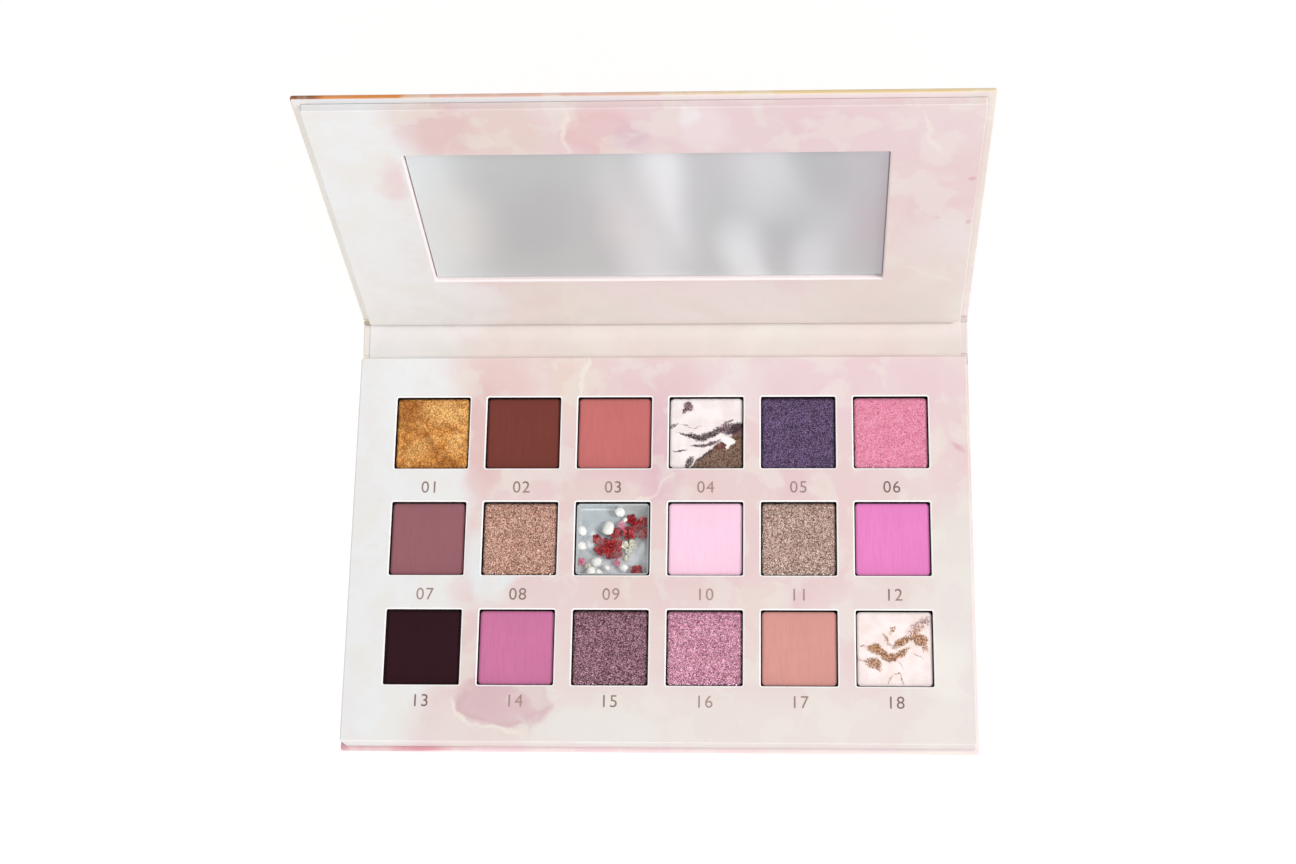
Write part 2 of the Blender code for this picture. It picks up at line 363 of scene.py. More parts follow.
def wash_tree() -> bpy.types.NodeTree:
    """One pool of paint as a node group: an ellipse that is 1 inside, and fades across a soft border.

    Returns:
        The group, with the pool at output 0 and its rim at output 1.
    """
    tree = bpy.data.node_groups.new("pool_of_paint", "ShaderNodeTree")
    for name in ("Point", "Centre", "Size"):
        tree.interface.new_socket(name, in_out="INPUT", socket_type="NodeSocketVector")
    for name in ("Turn", "Softness"):
        tree.interface.new_socket(name, in_out="INPUT", socket_type="NodeSocketFloat")
    for name in ("Pool", "Rim"):
        tree.interface.new_socket(name, in_out="OUTPUT", socket_type="NodeSocketFloat")
    wires = Wiring(tree)
    given = tree.nodes.new("NodeGroupInput").outputs
    result = tree.nodes.new("NodeGroupOutput").inputs
    turned = wires.node("VectorRotate", rotation_type="Z_AXIS", invert=True)
    wires.feed(turned.inputs["Vector"], given["Point"])
    wires.feed(turned.inputs["Center"], given["Centre"])
    wires.feed(turned.inputs["Angle"], given["Turn"])
    offset = wires.vector("SUBTRACT", turned.outputs[0], given["Centre"])
    distance = wires.vector("LENGTH", wires.vector("DIVIDE", offset, given["Size"]))
    outside = wires.math("ADD", 1.0, given["Softness"])
    inside = wires.math("SUBTRACT", 1.0, given["Softness"])
    wires.feed(result["Pool"], wires.remap(distance, outside, inside))
    from_rim = wires.math("ABSOLUTE", wires.math("SUBTRACT", distance, inside))
    wires.feed(result["Rim"], wires.remap(from_rim, given["Softness"], 0.0))
    return tree


WASH_TREE = wash_tree()


# ----------------------------------------------------------------------------------------------------
# Paint
# ----------------------------------------------------------------------------------------------------


@dataclass(frozen=True)
class Wash:
    """One pool of paint on a sheet, in millimetres.

    Attributes:
        centre: where it lies.
        size: its half length and half width.
        colour: its sRGB code.
        strength: how much of what lies under it it covers.
        turn: its angle in degrees.
        softness: width of its border as a share of its size.
        rim: how much darker the paint has dried along its border.
    """

    centre: Point
    size: Point
    colour: str
    strength: float = 0.8
    turn: float = 0.0
    softness: float = 0.45
    rim: float = 0.0

    def lay(self, wires: Wiring, point: Socket, under: Value, patchy: Value = 1.0) -> Socket:
        """Lays the pool over what is painted already.

        Args:
            wires: the tree to add it to.
            point: flat coordinates in millimetres.
            under: the colour painted so far.
            patchy: a share that thins the pool here and there.

        Returns:
            The colour with this pool on it.
        """
        pool = wires.node("Group", node_tree=WASH_TREE)
        wires.feed(pool.inputs["Point"], point)
        pool.inputs["Centre"].default_value = (*self.centre, 0.0)
        pool.inputs["Size"].default_value = (*self.size, 1.0)
        pool.inputs["Turn"].default_value = math.radians(self.turn)
        pool.inputs["Softness"].default_value = self.softness
        share = wires.math("MULTIPLY", pool.outputs["Pool"], self.strength)
        painted = wires.mix(wires.math("MULTIPLY", share, patchy), under, ink(self.colour))
        if not self.rim:
            return painted
        darker = wires.math("MULTIPLY", pool.outputs["Rim"], self.rim)
        return wires.mix(darker, painted, ink(self.colour), "MULTIPLY")


def stroke(
    start: Point, end: Point, width: float, colour: str, strength: float, softness: float = 0.5
) -> Wash:
    """A long thin pool from one point to another.

    Args:
        start: one end, in millimetres.
        end: the other end.
        width: its full width.
        colour: its sRGB code.
        strength: how much it covers.
        softness: width of its border as a share of its size.

    Returns:
        The pool.
    """
    run = Vector(end) - Vector(start)
    centre = (Vector(start) + Vector(end)) / 2
    turn = math.degrees(math.atan2(run.y, run.x))
    return Wash(tuple(centre), (run.length / 2, width / 2), colour, strength, turn, softness)


@dataclass(frozen=True)
class PrintedPaper:
    """Satin paper with a watercolour print.

    Attributes:
        name: its material's name.
        ground: the two colours that the bare sheet drifts between.
        washes: its pools of paint, in the order they are laid.
        veins: its thin ragged lines.
        fold_height: height in millimetres of the face whose print runs on down the walls.
        shift: how far the print is moved on its sheet, in millimetres.
        space: where its coordinates come from.
        shine: its roughness.
        tone: how much of the light the sheet gives back.
    """

    name: str
    ground: tuple[str, str]
    washes: tuple[Wash, ...]
    veins: tuple[Wash, ...] = ()
    fold_height: float = 0.0
    shift: Point = (0.0, 0.0)
    space: Space = Space.OWN
    shine: float = 0.42
    tone: float = 0.885

    def build(self) -> Material:
        """Paints the sheet: ground, pools, blooms, veins and the grain of the paper.

        Returns:
            The material.
        """
        graph = Graph(self.name)
        point = graph.millimetres(self.space)
        flat = self.unfold(graph, point)
        broad = graph.warp(flat, 0.04, 7.0)
        ragged = graph.warp(broad, 0.16, 2.6, 4.0)
        torn = graph.warp(ragged, 0.7, 1.1, 3.0)
        drift = graph.remap(graph.noise(broad, 0.05, 3.0).outputs[0], 0.38, 0.62)
        colour = graph.mix(drift, ink(self.ground[0]), ink(self.ground[1]))
        patchy = graph.remap(graph.noise(flat, 0.09, 4.0, 0.6).outputs[0], 0.3, 0.6, (0.8, 1.0))
        for wash in self.washes:
            colour = wash.lay(graph, ragged, colour, patchy)
        bloom = graph.noise(ragged, 0.06, 3.0, 0.55).outputs[0]
        colour = graph.mix(graph.remap(bloom, 0.48, 0.60, (0.0, 0.42)), colour, ink(BLOOM))
        from_tide = graph.math("ABSOLUTE", graph.math("SUBTRACT", bloom, 0.52))
        pooled = graph.remap(from_tide, 0.02, 0.0, (0.0, 0.04))
        colour = graph.mix(pooled, colour, ink(TIDE), "MULTIPLY")
        for vein in self.veins:
            colour = vein.lay(graph, torn, colour)
        colour = graph.mix(1.0, colour, (self.tone,) * 3, "MULTIPLY")
        grain = graph.noise(point, 5.0, 3.0, 0.6).outputs[0]
        colour = graph.mix(graph.remap(grain, 0.3, 0.7, (0.0, 0.06)), colour, ink(FIBRE), "MULTIPLY")
        roughness = graph.remap(bloom, 0.3, 0.7, (self.shine - 0.05, self.shine + 0.05))
        normal = graph.bump(grain, 0.25, 0.02)
        return graph.dress(Base_Color=colour, Roughness=roughness, Normal=normal, Specular_IOR_Level=0.35)

    def unfold(self, graph: Graph, point: Socket) -> Socket:
        """Flattens the coordinates, so that the print runs on from the face down each wall.

        Args:
            graph: the material's tree.
            point: coordinates in millimetres.

        Returns:
            Flat coordinates in millimetres.
        """
        flat = graph.vector("MULTIPLY", point, (1.0, 1.0, 0.0))
        if self.space is Space.OWN:
            height = graph.node("SeparateXYZ")
            graph.feed(height.inputs[0], point)
            drop = graph.math("SUBTRACT", self.fold_height, height.outputs["Z"])
            outward = graph.vector("MULTIPLY", graph.node("TexCoord").outputs["Normal"], (1.0, 1.0, 0.0))
            flat = graph.vector("ADD", flat, graph.vector("SCALE", outward, drop))
        return graph.vector("ADD", flat, (*self.shift, 0.0))


BARE, BLOOM, TIDE, FIBRE, CREAM = "EEEFEF", "ECE8DF", "E9CFD0", "D8CCC8", "F4ECE0"
SHEET = ("EADAD7", "E8D2D0")
WRAP = ("F0DAD6", "F4E3DA")
# The liner prints are a lighter copy, and the lid print a darker copy, of one sheet: painted light on the
# spine and creases, which the lid shades, and painted shade on the lid panel, which the front lamp lights
# more than the tray.
LINER_TONE_WITH_PAINTED_LIGHT, LID_TONE_WITH_PAINTED_SHADE = 0.92, 0.865

TRAY_WASHES = (
    Wash((6, 14), (84, 40), "E7CCCB", 0.8, 0, 0.5),
    Wash((24, -64), (84, 15), "EAE1DB", 0.9, 0, 0.5),
    Wash((106, -34), (17, 44), "E9E3DF", 0.85, 0, 0.5),
    Wash((66, 56), (46, 18), "E8CCD2", 0.7, 0, 0.5),
    Wash((26, 58), (12, 12), "ECDEDF", 0.7),
    Wash((-58, 58), (12, 14), "E6C9C5", 0.85),
    Wash((-31, 57), (9, 13), "E8D3C8", 0.85),
    Wash((-17, 2), (11, 22), "E6D3CB", 0.6, 25),
    Wash((-14, 30), (16, 8), "E3C3C6", 0.7),
    Wash((47, 8), (6, 40), "E5C6CA", 0.6),
    Wash((84, -4), (14, 18), "E8DBD6", 0.6),
    Wash((36, -20), (8, 6), "EADBD2", 0.6),
    Wash((-112, 2), (43, 100), BARE, 1.0, -4, 0.15),
    Wash((-58, -6), (9, 13), "E9EEF0", 0.85, 0, 0.35),
    Wash((-63, 42), (9, 20), "E3C1BE", 0.95, 0, 0.3),
    Wash((0, 38), (9, 22), "E0BBC4", 0.9, 0, 0.4),
    Wash((-4, 60), (22, 10), "E5C8CA", 0.7),
    Wash((-52, -55), (15.5, 11), "DABABE", 0.97, -10, 0.12, 0.10),
    Wash((-64, -36), (8, 12), "E0C4C1", 0.6),
    Wash((-18, -66), (22, 7), "ECE8E4", 0.8),
    Wash((103, 2), (9, 14), "E7E1DB", 0.8),
    Wash((104, 34), (9, 20), "E8CFD0", 0.75),
    Wash((98, -42), (7, 11), "F0ECE4", 0.8),
    Wash((103.6, 34.8), (1.5, 1.2), "D79FB2", 0.7, 0, 0.6),
)
TRAY_VEINS = (
    stroke((-25, 69), (-28, 55), 2.0, CREAM, 0.6),
    stroke((-30, 3), (4, 23), 1.3, CREAM, 0.55),
    stroke((-69, -54), (-61, -65.5), 1.6, CREAM, 0.7),
    stroke((-61, -65.5), (-46, -68), 1.4, CREAM, 0.6),
    stroke((92, -28), (106, -55), 1.0, CREAM, 0.5),
)
LID_WASHES = (
    Wash((30, 122), (90, 20), "E9D0D4", 0.75, 0, 0.5),
    Wash((30, 14), (96, 18), "E9D7D2", 0.75, 0, 0.5),
    Wash((98, 84), (14, 30), "E7CCCD", 0.7, 0, 0.5),
    Wash((99, 58), (13, 17), "EBE2E0", 0.85),
    Wash((98, 28), (14, 22), "E8D8D3", 0.8),
    Wash((-112, 66), (46, 124), BARE, 1.0, 4, 0.18),
    Wash((-84, 98), (5, 13), "EBCFCF", 0.75),
    Wash((-64, 127), (12, 15), "E3C5C3", 0.9),
    Wash((-43, 127), (11, 13), "E6D1C8", 0.85),
    Wash((-14, 125), (12, 14), "E8C6C7", 0.9, 0, 0.3, 0.06),
    Wash((-4, 122), (6, 8), "DCC0CC", 0.75),
    Wash((19, 127), (8, 10), "EEE0E2", 0.8),
    Wash((58, 130), (14, 9), "E8CBD0", 0.7),
    Wash((15, 133), (4, 4), "F4F0F0", 0.7),
    Wash((-68, 14), (13, 15), "EDEEF0", 0.9, 0, 0.3),
    Wash((-42, 14), (11, 15), "E6CBC7", 0.85),
    Wash((-25, 12), (9, 14), "E9DCD2", 0.85),
    Wash((0, 4), (15, 8), "EDDDDB", 0.7),
    Wash((-58, -8), (16, 6), "E9D6CC", 0.7),
    Wash((-28, -9), (9, 6), "E9E8DC", 0.7),
    Wash((8, -8), (12, 6), "EAD2D0", 0.7),
    Wash((40, -9), (14, 6), "E8E6DB", 0.7),
    Wash((72, -8), (12, 6), "EAD5D0", 0.7),
    Wash((106, 8), (5, 10), "EBE4DF", 0.8),
    # A broad pale pool along the lid's foot: painted light that evens out the shade near its crease.
    Wash((0, 0), (150, 32), "FAF3EF", 0.68, 0, 0.7),
    Wash((86, 30), (24, 30), "EBDFD8", 0.6, 0, 0.6),
    Wash((104, 97), (1.5, 1.7), "D7A5B2", 0.7, 0, 0.6),
    Wash((104, 72), (1.2, 1.3), "D7A5B2", 0.7, 0, 0.6),
    Wash((95, 74), (1.0, 1.0), "DDB2BC", 0.7, 0, 0.6),
)
LID_VEINS = (
    stroke((-23, 139), (-27, 114), 2.0, CREAM, 0.6),
    stroke((-34, 32), (-31, -14), 2.0, CREAM, 0.55),
    stroke((86, 136), (95, 112), 2.2, CREAM, 0.4),
    stroke((84, 40), (102, 30), 2.0, CREAM, 0.4),
)
COVER_WASHES = (
    Wash((-70, 120), (60, 45), "EDB37E", 0.85),
    Wash((-20, 60), (60, 50), "E9B7B4", 0.8),
    Wash((75, 100), (50, 60), "E8D3A6", 0.75),
    Wash((60, 20), (60, 45), "D9BEDB", 0.8),
    Wash((-80, 10), (45, 40), "EFD9B4", 0.7),
    Wash((-109, 64), (4, 70), "F6F1E0", 0.95),
    Wash((109, 60), (4, 84), "E0D5CF", 0.95),
    Wash((-26, 142), (50, 7), "E2B9AC", 0.95),
    Wash((-92, 142), (24, 7), "DD8C48", 0.97),
    Wash((60, 142), (56, 5), "E7CF9C", 0.9),
    Wash((-107, 143), (6, 4), "74401F", 0.95),
    Wash((-20, -71), (60, 5), "EFD3D8", 0.9),
    Wash((-96, -71), (20, 5), "DB98A6", 0.9),
)
COVER_VEINS = (
    stroke((-90, 70), (20, 96), 2.4, "FBF1E2", 0.8),
    stroke((10, 30), (100, 62), 2.0, "FBF1E2", 0.7),
)
TURN_IN_WASHES = (
    Wash((-60, 141), (60, 5), "E3E8EC", 0.8),
    Wash((50, 141), (60, 5), "F3E3E5", 0.8),
    Wash((109, 80), (5, 70), "E2D8D0", 0.9),
    Wash((-109, 70), (5, 70), "F4F1E8", 0.9),
    Wash((-20, -70), (60, 5), "EFD3D8", 0.9),
    Wash((-94, -70), (24, 5), "DB98A6", 0.9),
)


@dataclass(frozen=True)
class CutCard:
    """The white die-cut edge of a card.

    Attributes:
        name: its material's name.
        colour: its sRGB code.
    """

    name: str
    colour: str

    def build(self) -> Material:
        """A pale, fibrous surface with a soft bump.

        Returns:
            The material.
        """
        graph = Graph(self.name)
        point = graph.millimetres()
        fibre = graph.noise(graph.vector("MULTIPLY", point, (3.0, 3.0, 14.0)), 1.0, 4.0, 0.65).outputs[0]
        light = ink(self.colour)
        dark = tuple(0.86 * part for part in light)
        colour = graph.mix(graph.remap(fibre, 0.3, 0.7), dark, light)
        return graph.dress(Base_Color=colour, Roughness=0.7, Normal=graph.bump(fibre, 0.3, 0.03))


@dataclass(frozen=True)
class RawBoard:
    """Uncoated board, with layers that show on its edges and specks of recycled fibre.

    Attributes:
        name: its material's name.
        colour: its sRGB code.
        speck: sRGB code of the specks.
    """

    name: str
    colour: str
    speck: str

    def build(self) -> Material:
        """Mixes pulp, layers and specks.

        Returns:
            The material.
        """
        graph = Graph(self.name)
        point = graph.millimetres()
        layers = graph.noise(graph.vector("MULTIPLY", point, (0.25, 0.25, 6.0)), 1.0, 3.0).outputs[0]
        pulp = graph.noise(point, 1.6, 5.0, 0.65).outputs[0]
        base = ink(self.colour)
        pale = tuple(min(1.0, 1.25 * part) for part in base)
        colour = graph.mix(graph.math("MULTIPLY", layers, pulp), base, pale)
        specks = graph.remap(graph.cells(point, 1.3).outputs["Distance"], 0.16, 0.08, (0.0, 0.7))
        colour = graph.mix(specks, colour, ink(self.speck))
        return graph.dress(Base_Color=colour, Roughness=0.92, Normal=graph.bump(pulp, 0.5, 0.06))


@dataclass(frozen=True)
class Metal:
    """Stamped or plated metal with fine drawing lines and small stains.

    Attributes:
        name: its material's name.
        colour: its sRGB code.
        roughness: its mean roughness.
        stretch: how many times longer than wide its lines are.
    """

    name: str
    colour: str
    roughness: float
    stretch: float = 12.0

    def build(self) -> Material:
        """Mixes drawing lines and stains into colour and roughness.

        Returns:
            The material.
        """
        graph = Graph(self.name)
        point = graph.millimetres()
        lines = graph.noise(graph.vector("MULTIPLY", point, (self.stretch, 1.0, 1.0)), 1.2, 3.0).outputs[0]
        stain = graph.noise(point, 0.35, 4.0).outputs[0]
        base = ink(self.colour)
        dull = tuple(0.7 * part for part in base)
        colour = graph.mix(graph.remap(stain, 0.35, 0.7, (0.0, 0.5)), base, dull)
        roughness = graph.remap(lines, 0.3, 0.7, (self.roughness - 0.07, self.roughness + 0.1))
        normal = graph.bump(lines, 0.15, 0.01)
        return graph.dress(Base_Color=colour, Metallic=1.0, Roughness=roughness, Normal=normal)


@dataclass(frozen=True)
class StampedFoil:
    """Rose-taupe foil of the numerals, slightly broken up by the paper under it.

    Attributes:
        name: its material's name.
        light: sRGB code where it catches the light.
        dark: sRGB code elsewhere.
    """

    name: str
    light: str
    dark: str

    def build(self) -> Material:
        """Drifts between the two tones.

        Returns:
            The material.
        """
        graph = Graph(self.name)
        point = graph.millimetres()
        drift = graph.noise(point, 0.05, 2.0).outputs[0]
        speck = graph.noise(point, 7.0, 3.0).outputs[0]
        colour = graph.mix(graph.remap(drift, 0.35, 0.65), ink(self.dark), ink(self.light))
        colour = graph.mix(graph.remap(speck, 0.5, 0.75, (0.0, 0.35)), colour, ink(self.light))
        roughness = graph.remap(speck, 0.3, 0.7, (0.35, 0.55))
        return graph.dress(Base_Color=colour, Metallic=0.35, Roughness=roughness)


@dataclass(frozen=True)
class SilverWithPaintedReflections:
    """Silvered glass under a frosted film, with painted reflections on it in soft upright bands.

    Attributes:
        name: its material's name.
        silver: sRGB code between the painted reflections.
        painted_reflections: its brighter and darker bands of painted reflection.
        cast: sRGB code of the cool tint that the silver gives everything in it.
    """

    name: str
    silver: str
    painted_reflections: tuple[Wash, ...]
    cast: str = "F5FCFD"

    def build(self) -> Material:
        """Lays the painted reflections on the silver.

        Returns:
            The material.
        """
        graph = Graph(self.name)
        point = graph.millimetres()
        flat = graph.vector("MULTIPLY", point, (1.0, 1.0, 0.0))
        swayed = graph.warp(flat, 0.02, 6.0, 1.0)
        colour: Value = ink(self.silver)
        for band in self.painted_reflections:
            colour = band.lay(graph, swayed, colour)
        colour = graph.mix(1.0, colour, ink(self.cast), "MULTIPLY")
        haze = graph.noise(point, 0.06, 2.0).outputs[0]
        roughness = graph.remap(haze, 0.3, 0.7, (0.30, 0.38))
        grain = graph.noise(point, 9.0, 2.0).outputs[0]
        return graph.dress(
            Base_Color=colour,
            Metallic=0.3,
            Roughness=roughness,
            Normal=graph.bump(grain, 0.08, 0.01),
            Coat_Weight=0.15,
            Coat_Roughness=0.15,
        )


# Brighter and darker upright bands: painted reflections in the mirror.
MIRROR_PAINTED_REFLECTIONS = (
    Wash((-78, 73), (18, 70), "E6E6E7", 0.95, -5, 0.7),
    Wash((-38, 75), (20, 70), "C9C9CA", 0.95, 5, 0.5),
    Wash((6, 96), (8, 36), "EFEFF0", 0.95, 6, 0.8),
    Wash((-4, 55), (10, 36), "E6E6E7", 0.9, 8, 0.8),
    Wash((19, 74), (7, 70), "CACACB", 0.85, 4, 0.7),
    Wash((39, 100), (9, 24), "DEDEDF", 0.9, 0, 0.8),
    Wash((31, 44), (7, 22), "EAEAEB", 0.9, 8, 0.8),
    Wash((43, 44), (5, 20), "CACACB", 0.85, 8, 0.8),
    Wash((54, 44), (6, 18), "E4E4E5", 0.85, 8, 0.8),
    Wash((59, 106), (10, 26), "C0C0C1", 0.9, 6, 0.7),
    Wash((74, 70), (10, 70), "C3C3C4", 0.9, 0, 0.6),
)


# ----------------------------------------------------------------------------------------------------
# Shades
# ----------------------------------------------------------------------------------------------------


class Texture(Enum):
    """How a shade is pressed, as the depth of its relief in millimetres."""

    MATTE = 0.02
    SHIMMER = 0.04
    GLITTER = 0.09
    CRUMPLED = 0.22
    MARBLED = 0.05


@dataclass(frozen=True)
class PressedPowder:
    """A pressed shade.

    Attributes:
        slot: its slot in the record, and its material's name.
        texture: how it is pressed.
        colour: its sRGB code.
        light: sRGB code of its brightest flakes.
        dark: sRGB code of its deepest flakes.
        strokes: strokes of marbling, or painted shade and light on a crumpled shade, in millimetres from the
            pan's centre.
    """

    slot: str
    texture: Texture
    colour: str
    light: str = ""
    dark: str = ""
    strokes: tuple[Wash, ...] = ()

    def build(self) -> Material:
        """Picks the recipe for the texture.

        Returns:
            The material.
        """
        graph = Graph(self.slot)
        point = graph.millimetres()
        if self.texture is Texture.MATTE:
            return self.matte(graph, point)
        if self.texture is Texture.CRUMPLED:
            return self.crumpled(graph, point)
        if self.texture is Texture.MARBLED:
            return self.marbled(graph, point)
        return self.flaked(graph, point)

    def matte(self, graph: Graph, point: Socket) -> Material:
        """Dense powder with the faint upright lines that the press leaves.

        Args:
            graph: the material's tree.
            point: coordinates in millimetres.

        Returns:
            The material.
        """
        base = ink(self.colour)
        deep = tuple(0.86 * part for part in base)
        lines = graph.noise(graph.vector("MULTIPLY", point, (1.6, 0.10, 1.0)), 1.0, 4.0, 0.6).outputs[0]
        cloud = graph.noise(point, 0.12, 3.0).outputs[0]
        grain = graph.noise(point, 8.0, 3.0, 0.7).outputs[0]
        colour = graph.mix(graph.remap(lines, 0.42, 0.68, (0.0, 0.55)), base, deep)
        colour = graph.mix(graph.remap(cloud, 0.35, 0.7, (0.0, 0.35)), colour, deep)
        bright = tuple(min(1.0, 1.2 * part) for part in base)
        colour = graph.mix(graph.remap(grain, 0.35, 0.65, (0.0, 0.12)), colour, bright)
        normal = graph.bump(lines, 0.3, 0.03, graph.bump(grain, 0.35, 0.03))
        return graph.dress(Base_Color=colour, Roughness=0.85, Normal=normal, Specular_IOR_Level=0.12)

    def tilt(self, graph: Graph, flake: Socket, amount: float) -> Socket:
        """Leans each flake its own way, so that it catches the light on its own.

        Args:
            graph: the material's tree.
            flake: a random colour for each flake.
            amount: how far it leans.

        Returns:
            The normal.
        """
        lean = graph.vector("SCALE", graph.vector("SUBTRACT", flake, (0.5, 0.5, 0.5)), amount)
        leaned = graph.vector("ADD", graph.node("NewGeometry").outputs["Normal"], lean)
        return graph.vector("NORMALIZE", leaned)

    def flaked(self, graph: Graph, point: Socket) -> Material:
        """Shimmer or glitter: flakes of three tones that lean their own way.

        Args:
            graph: the material's tree.
            point: coordinates in millimetres.

        Returns:
            The material.
        """
        coarse = self.texture is Texture.GLITTER
        uneven = graph.warp(point, 2.0, 0.12, 2.0)
        flakes = graph.cells(uneven, 3.7 if coarse else 4.4).outputs["Color"]
        fine = graph.cells(point, 7.5).outputs["Color"]
        tone = graph.math("ADD", graph.math("MULTIPLY", flakes, 0.7), graph.math("MULTIPLY", fine, 0.3))
        cloud = graph.noise(point, 0.25, 4.0).outputs[0]
        tone = graph.math("ADD", tone, graph.remap(cloud, 0.3, 0.7, (-0.04, 0.04)))
        # The ramp's light and dark ends are partly the flakes' own tones and partly painted glint and painted
        # shade on them.
        spread = 0.19 if coarse else 0.2
        stops = ((0.5 - spread, ink(self.dark)), (0.5, ink(self.colour)), (0.5 + spread, ink(self.light)))
        colour = graph.ramp(tone, stops)
        normal = self.tilt(graph, flakes, 0.9 if coarse else 0.5)
        return graph.dress(
            Base_Color=colour,
            Metallic=0.45 if coarse else 0.3,
            Roughness=graph.remap(tone, 0.2, 0.8, (0.55, 0.35)),
            Normal=normal,
        )

    def crumpled(self, graph: Graph, point: Socket) -> Material:
        """Soft foil-like shimmer, drawn up in ridges and hollows, with painted shade along its folds.

        Args:
            graph: the material's tree.
            point: coordinates in millimetres.

        Returns:
            The material.
        """
        bent = graph.warp(graph.warp(point, 0.1, 3.0, 2.0), 0.6, 0.6, 3.0)
        torn = graph.vector("MULTIPLY", bent, (1.0, 1.0, 0.0))
        swell = graph.noise(torn, 0.15, 4.0, 0.6).outputs[0]
        fold = graph.math("ABSOLUTE", graph.math("SUBTRACT", graph.noise(torn, 0.2, 2.0).outputs[0], 0.5))
        # Darkening along the folds is painted shade.
        crease = graph.remap(fold, 0.09, 0.0, (0.0, -0.07))
        fleck = graph.noise(point, 2.0, 3.0, 0.8).outputs[0]
        tone = graph.math("ADD", graph.math("MULTIPLY", swell, 0.35), graph.math("MULTIPLY", fleck, 0.65))
        tone = graph.math("ADD", tone, crease)
        stops = ((0.34, ink(self.dark)), (0.48, ink(self.colour)), (0.62, ink(self.light)))
        colour = graph.ramp(tone, stops)
        # The strokes add painted shade and painted light.
        for drawn in self.strokes:
            colour = drawn.lay(graph, torn, colour, graph.remap(fleck, 0.42, 0.58, (0.45, 1.0)))
        flakes = graph.cells(point, 2.7).outputs["Color"]
        glint = graph.mix(graph.remap(flakes, 0.3, 0.75), (0.68, 0.62, 0.55), (1.32, 1.34, 1.4))
        colour = graph.mix(1.0, colour, glint, "MULTIPLY")
        normal = graph.bump(tone, 0.6, 0.3)
        return graph.dress(
            Base_Color=colour,
            Metallic=0.4,
            Roughness=graph.remap(fleck, 0.3, 0.7, (0.5, 0.35)),
            Normal=normal,
        )

    def marbled(self, graph: Graph, point: Socket) -> Material:
        """Pale powder with strokes of flaked pigment run through it.

        Args:
            graph: the material's tree.
            point: coordinates in millimetres.

        Returns:
            The material.
        """
        flat = graph.vector("MULTIPLY", point, (1.0, 1.0, 0.0))
        wavy = graph.warp(flat, 0.35, 0.9, 2.0)
        frayed = graph.vector("MULTIPLY", graph.warp(wavy, 1.3, 0.8, 4.0), (1.0, 1.0, 0.0))
        drift = graph.noise(point, 0.2, 3.0).outputs[0]
        colour: Value = graph.mix(graph.remap(drift, 0.35, 0.65), ink(self.colour), ink(self.light))
        pale = colour
        speckle = graph.remap(graph.noise(point, 1.8, 3.0, 0.8).outputs[0], 0.42, 0.48, (0.7, 1.0))
        for drawn in self.strokes:
            colour = drawn.lay(graph, frayed, colour, 1.0 if drawn.strength > 0.94 else speckle)
        flakes = graph.cells(point, 2.8).outputs["Color"]
        pigment = graph.mix(graph.remap(flakes, 0.25, 0.75), (0.45, 0.42, 0.40), (1.45, 1.45, 1.45))
        flecked = graph.mix(1.0, colour, pigment, "MULTIPLY")
        covered = graph.vector("LENGTH", graph.vector("SUBTRACT", pale, colour))
        colour = graph.mix(graph.remap(covered, 0.15, 0.5), colour, flecked)
        normal = graph.bump(graph.noise(point, 6.0, 3.0).outputs[0], 0.3, 0.03)
        return graph.dress(Base_Color=colour, Roughness=0.72, Normal=normal, Specular_IOR_Level=0.25)


BROWN, DEEP, MAUVE, MILK = "6F5544", "3A2830", "5C3C49", "F1E8E5"
BROWN_MARBLE = (
    Wash((8.4, -15.4), (22.6, 11.8), BROWN, 0.97, 38, 0.04),
    Wash((13.8, -0.6), (4.4, 4.2), BROWN, 0.97, 0, 0.12),
    stroke((-7.0, -13.0), (-4.8, -8.6), 2.0, DEEP, 0.94, 0.3),
    stroke((-3.6, -10.4), (2.4, -5.8), 1.1, DEEP, 0.85, 0.4),
    stroke((2.6, -5.6), (7.4, -4.0), 2.4, "6B3A3A", 0.85, 0.4),
    Wash((7.6, -2.6), (2.5, 1.3), MILK, 0.97, -12, 0.15),
    stroke((8.6, -2.4), (7.2, -5.6), 1.4, MILK, 0.97, 0.25),
    stroke((-9.8, 0.2), (-5.0, -1.0), 0.8, DEEP, 0.9, 0.3),
    stroke((-6.4, -0.6), (-1.4, -2.1), 2.2, DEEP, 0.94, 0.3),
    stroke((-2.8, -2.0), (2.2, -0.3), 2.8, DEEP, 0.94, 0.3),
    stroke((1.0, -0.8), (6.2, 1.7), 2.8, DEEP, 0.94, 0.3),
    stroke((4.6, 1.5), (12.8, 1.2), 4.2, MAUVE, 0.94, 0.3),
    stroke((8.0, 0.6), (13.2, 3.4), 3.0, DEEP, 0.94, 0.3),
    stroke((-11.6, -6.7), (-6.6, -6.0), 0.6, DEEP, 0.85, 0.4),
    stroke((-5.4, -4.8), (0.4, -4.4), 1.1, DEEP, 0.92, 0.3),
    stroke((-0.6, -4.5), (5.0, -2.8), 1.4, MAUVE, 0.94, 0.3),
    stroke((-12.8, 1.8), (-11.2, 3.6), 1.0, DEEP, 0.7, 0.4),
    stroke((-11.6, 2.4), (-9.6, 3.9), 0.5, DEEP, 0.7, 0.4),
    stroke((-9.8, 3.9), (-5.2, 1.9), 0.35, MAUVE, 0.6),
    stroke((-5.6, 1.8), (-1.0, 2.6), 0.3, MAUVE, 0.5),
    stroke((5.6, 3.2), (9.6, 4.9), 0.9, MAUVE, 0.7),
    Wash((-6.3, 10.0), (1.8, 1.7), MAUVE, 0.94, 0, 0.3),
    stroke((-8.4, 7.6), (-6.4, 9.6), 1.2, MAUVE, 0.94, 0.35),
)
GOLD, SAND = "9E6F49", "B68E77"
